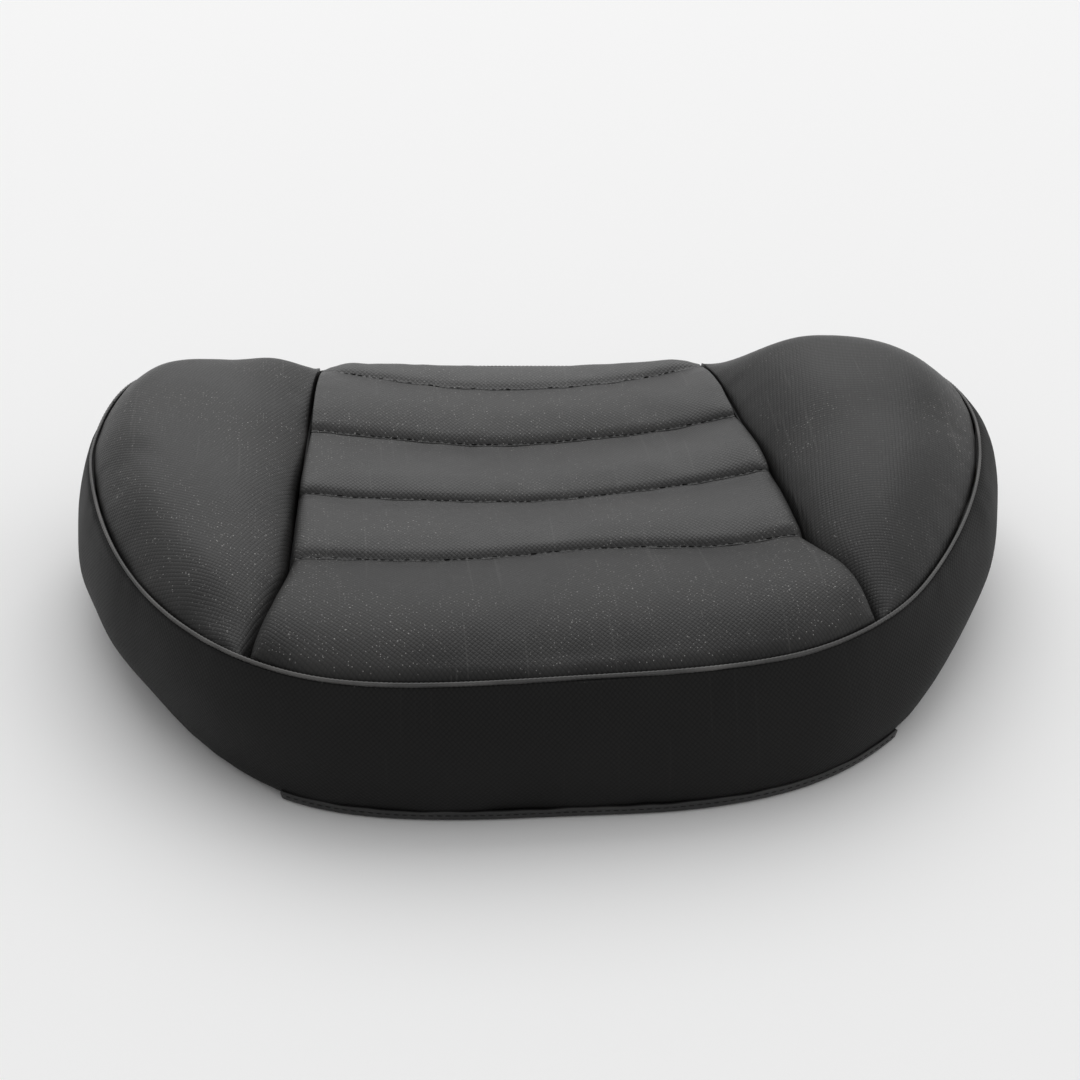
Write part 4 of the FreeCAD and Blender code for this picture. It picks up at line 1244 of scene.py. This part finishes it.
def make_foam(material):
    """The block of padding inside the boxing, below the panels and above the pan's floor."""
    run = np.linspace(0, SEAM_LENGTH, FOAM_POINTS, endpoint=False)
    up = np.linspace(FOAM_FOOT / BOXING_HIGH[2], FOAM_TOP_SHARE, FOAM_SIDE_RINGS)
    place, out, height, offset = boxing_place(run, up)
    side = raised(place + out * (offset - SKIN - FOAM_GAP)[..., None], height)
    middle = np.array([0, 0, side[-1, :, 2].min() - FOAM_GAP])
    foot = np.array([0, 0, FOAM_FOOT])
    cap = between(middle, side[-1], FOAM_CAP_SHARES)
    base = between(foot, side[0], FOAM_CAP_SHARES[::-1])
    rings = lean(np.concatenate([base[1:], side, cap[:-1]]))
    finished(mesh_object("Foam_block", *tube_parts(rings)), material, ["foam_core"])


# --- underside cover ---

UNDER_WIDTH = 22.0
UNDER_THICK = 1.1
UNDER_LOW = 0.7
UNDER_TOP = 2.9
UNDER_STEP = 3.0
UNDER_ROWS = 12
# The gathers start and stand fully this far inwards, and flatten again towards the inner edge.
GATHER_LENGTHS = (9.0, 12.5, 17.0, 31.0)
GATHER_START = (1.0, 5.0)
GATHER_END = (15.0, UNDER_WIDTH)


def make_turn_under(material):
    """The cover's edge, pulled under the pan in small gathers and stapled there."""
    run = np.linspace(0, SEAM_LENGTH, round(SEAM_LENGTH / UNDER_STEP))
    place, out, _ = seam_at(run)
    offset = boxing_bulge(place, np.ones(1)) - BOXING_FOOT[1]
    inwards = np.linspace(UNDER_WIDTH, 0, UNDER_ROWS)[:, None]
    plan = place + out * (offset - inwards)[..., None]
    gather = np.clip(0.5 + 0.5 * ripples(run, UNDER_SEED, GATHER_LENGTHS), 0, 1)
    loose = ease(*GATHER_START, inwards) * (1 - 0.5 * ease(*GATHER_END, inwards))
    low = UNDER_LOW + (UNDER_TOP - UNDER_THICK - UNDER_LOW) * gather * loose
    ring = slab("Turn_under", raised(plan, low), raised(plan, low + UNDER_THICK), plan)
    finished(ring, material, ["cover_turn_under"])


# --- studio ---

CAMERA_AZIMUTH = -5.9
CAMERA_ELEVATION = 32.0
CAMERA_DISTANCE = 1150.0
CAMERA_TARGET = (-1.0, -9.0, 60.0)
CAMERA_LENS = 73.6
SENSOR = 36.0
NEAREST_SEEN = 0.01
# A wide soft light, high behind the seat; sizes in metres, power in watts.
LIGHT_AZIMUTH = 178
LIGHT_ELEVATION = 50
LIGHT_DISTANCE = 8.0
LIGHT_SIZE = (8.0, 6.0)
LIGHT_POWER = 255
# Strength of the surrounding in front and behind, and how far its bright side is to the right.
WORLD_LEVELS = (0.42, 0.95)
WORLD_RIGHT = 0.8
WORLD_SPAN = (-0.9, 0.9)
FLOOR_REACH = 6000.0
FLOOR_LOOK = {"Base Color": (0.93, 0.93, 0.93, 1), "Roughness": 0.9, "Specular IOR Level": 0.1}


def direction(azimuth, elevation):
    """From the seat towards a viewer at this azimuth and elevation."""
    a, e = math.radians(azimuth), math.radians(elevation)
    return Vector((math.sin(a) * math.cos(e), -math.cos(a) * math.cos(e), math.sin(e)))


def aimed(name, data, target, away, distance):
    """Adds a camera or a light that looks at a target from a distance."""
    made = bpy.data.objects.new(name, data)
    made.location = target + away * distance
    made.rotation_mode = "QUATERNION"
    made.rotation_quaternion = (-away).to_track_quat("-Z", "Y")
    bpy.context.scene.collection.objects.link(made)
    return made


def make_camera():
    data = bpy.data.cameras.new("Camera")
    data.lens = CAMERA_LENS
    data.sensor_width = SENSOR
    data.clip_start = NEAREST_SEEN
    away = direction(CAMERA_AZIMUTH, CAMERA_ELEVATION)
    camera = aimed("Camera", data, Vector(CAMERA_TARGET) * MM, away, CAMERA_DISTANCE * MM)
    bpy.context.scene.camera = camera


def make_light():
    data = bpy.data.lights.new("Back_light", "AREA")
    data.shape = "RECTANGLE"
    data.size, data.size_y = LIGHT_SIZE
    data.energy = LIGHT_POWER
    aimed("Back_light", data, Vector(), direction(LIGHT_AZIMUTH, LIGHT_ELEVATION), LIGHT_DISTANCE)


def make_floor():
    corners = [(-1, -1, 0), (1, -1, 0), (1, 1, 0), (-1, 1, 0)]
    floor = mesh_object("Floor", np.array(corners) * FLOOR_REACH, [[0, 1, 2, 3]], smooth=False)
    material, _, shader = surface("Studio_floor")
    for key, value in FLOOR_LOOK.items():
        shader.inputs[key].default_value = value
    floor.data.materials.append(material)


def studio_world():
    """A pale surrounding, brighter behind the seat and above it than in front."""
    world = bpy.data.worlds.new("Studio")
    world.use_nodes = True
    tree = world.node_tree
    sky = tree.nodes["Background"]
    way = add(tree, "TexCoord").outputs["Generated"]
    parts = add(tree, "SeparateXYZ", {0: way})
    behind = calc(tree, "MULTIPLY_ADD", parts.outputs["X"], WORLD_RIGHT)
    tree.links.new(parts.outputs["Y"], behind.node.inputs[2])
    tree.links.new(ramp(tree, behind, *WORLD_SPAN, *WORLD_LEVELS), sky.inputs["Strength"])
    sky.inputs["Color"].default_value = (1, 1, 1, 1)
    return world


def make_studio():
    scene = bpy.context.scene
    scene.view_settings.view_transform = "Standard"
    scene.world = studio_world()
    make_light()
    make_floor()


# --- the seat ---

# Parts that show as the CAD made them, by slot.
CAD_PARTS = {
    "pan_plastic": "seat_pan pan_rim pan_ribs",
    "steel": "left_listing_wire right_listing_wire left_anchor_wire right_anchor_wire hog_rings "
             "staples front_strap rear_strap threaded_inserts strap_rivets",
    "rubber": "rubber_bumpers",
    "listing_cloth": "left_trench_listing right_trench_listing",
}


def dress_frame():
    """Finishes for the parts that show as the CAD made them."""
    finishes = {
        "pan_plastic": grained("Pan_plastic", grey(0.02), rough=0.5, scale=700.0, depth=0.25,
                               worn=grey(0.035, 0.03)),
        "steel": grained("Steel", grey(0.42, 0.01), rough=0.36, scale=400.0, depth=0.03, metal=1.0,
                         worn=grey(0.3, 0.05)),
        "rubber": grained("Rubber", grey(0.018), rough=0.75, scale=500.0, depth=0.1,
                          worn=grey(0.03)),
        # Black listing cloth; its darkness also serves as painted shade where it shows in the gaps of the
        # trenches.
        "listing_cloth": grained("Listing_cloth_painted_shade", grey(0.012), rough=0.9, scale=1500.0, depth=0.2),
    }
    for slot, names in CAD_PARTS.items():
        for name in names.split():
            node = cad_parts[name]
            node.data.materials.clear()
            node.data.materials.append(finishes[slot])


def make_seat():
    make_cover()
    make_welts()
    thread = grained("Thread", grey(0.014), rough=0.7, scale=2500.0, depth=0.08, gloss=0.2)
    for number in range(len(SEAM_LINES)):
        cross_stitches(number, thread)
    under = vinyl("Turn_under_vinyl", level=0.015, turn=WEAVE_TURN, dust=0.03, gloss=0.25, rough=0.55)
    make_turn_under(under)
    hem = grained("Hem_binding", grey(0.016), rough=0.5, scale=900.0, depth=0.1,
                  worn=grey(0.03, 0.02))
    make_hem(hem, thread)
    make_foam(grained("Foam", (0.5, 0.42, 0.24, 1), rough=0.95, scale=900.0, depth=0.5))
    dress_frame()


make_camera()
make_studio()
make_seat()
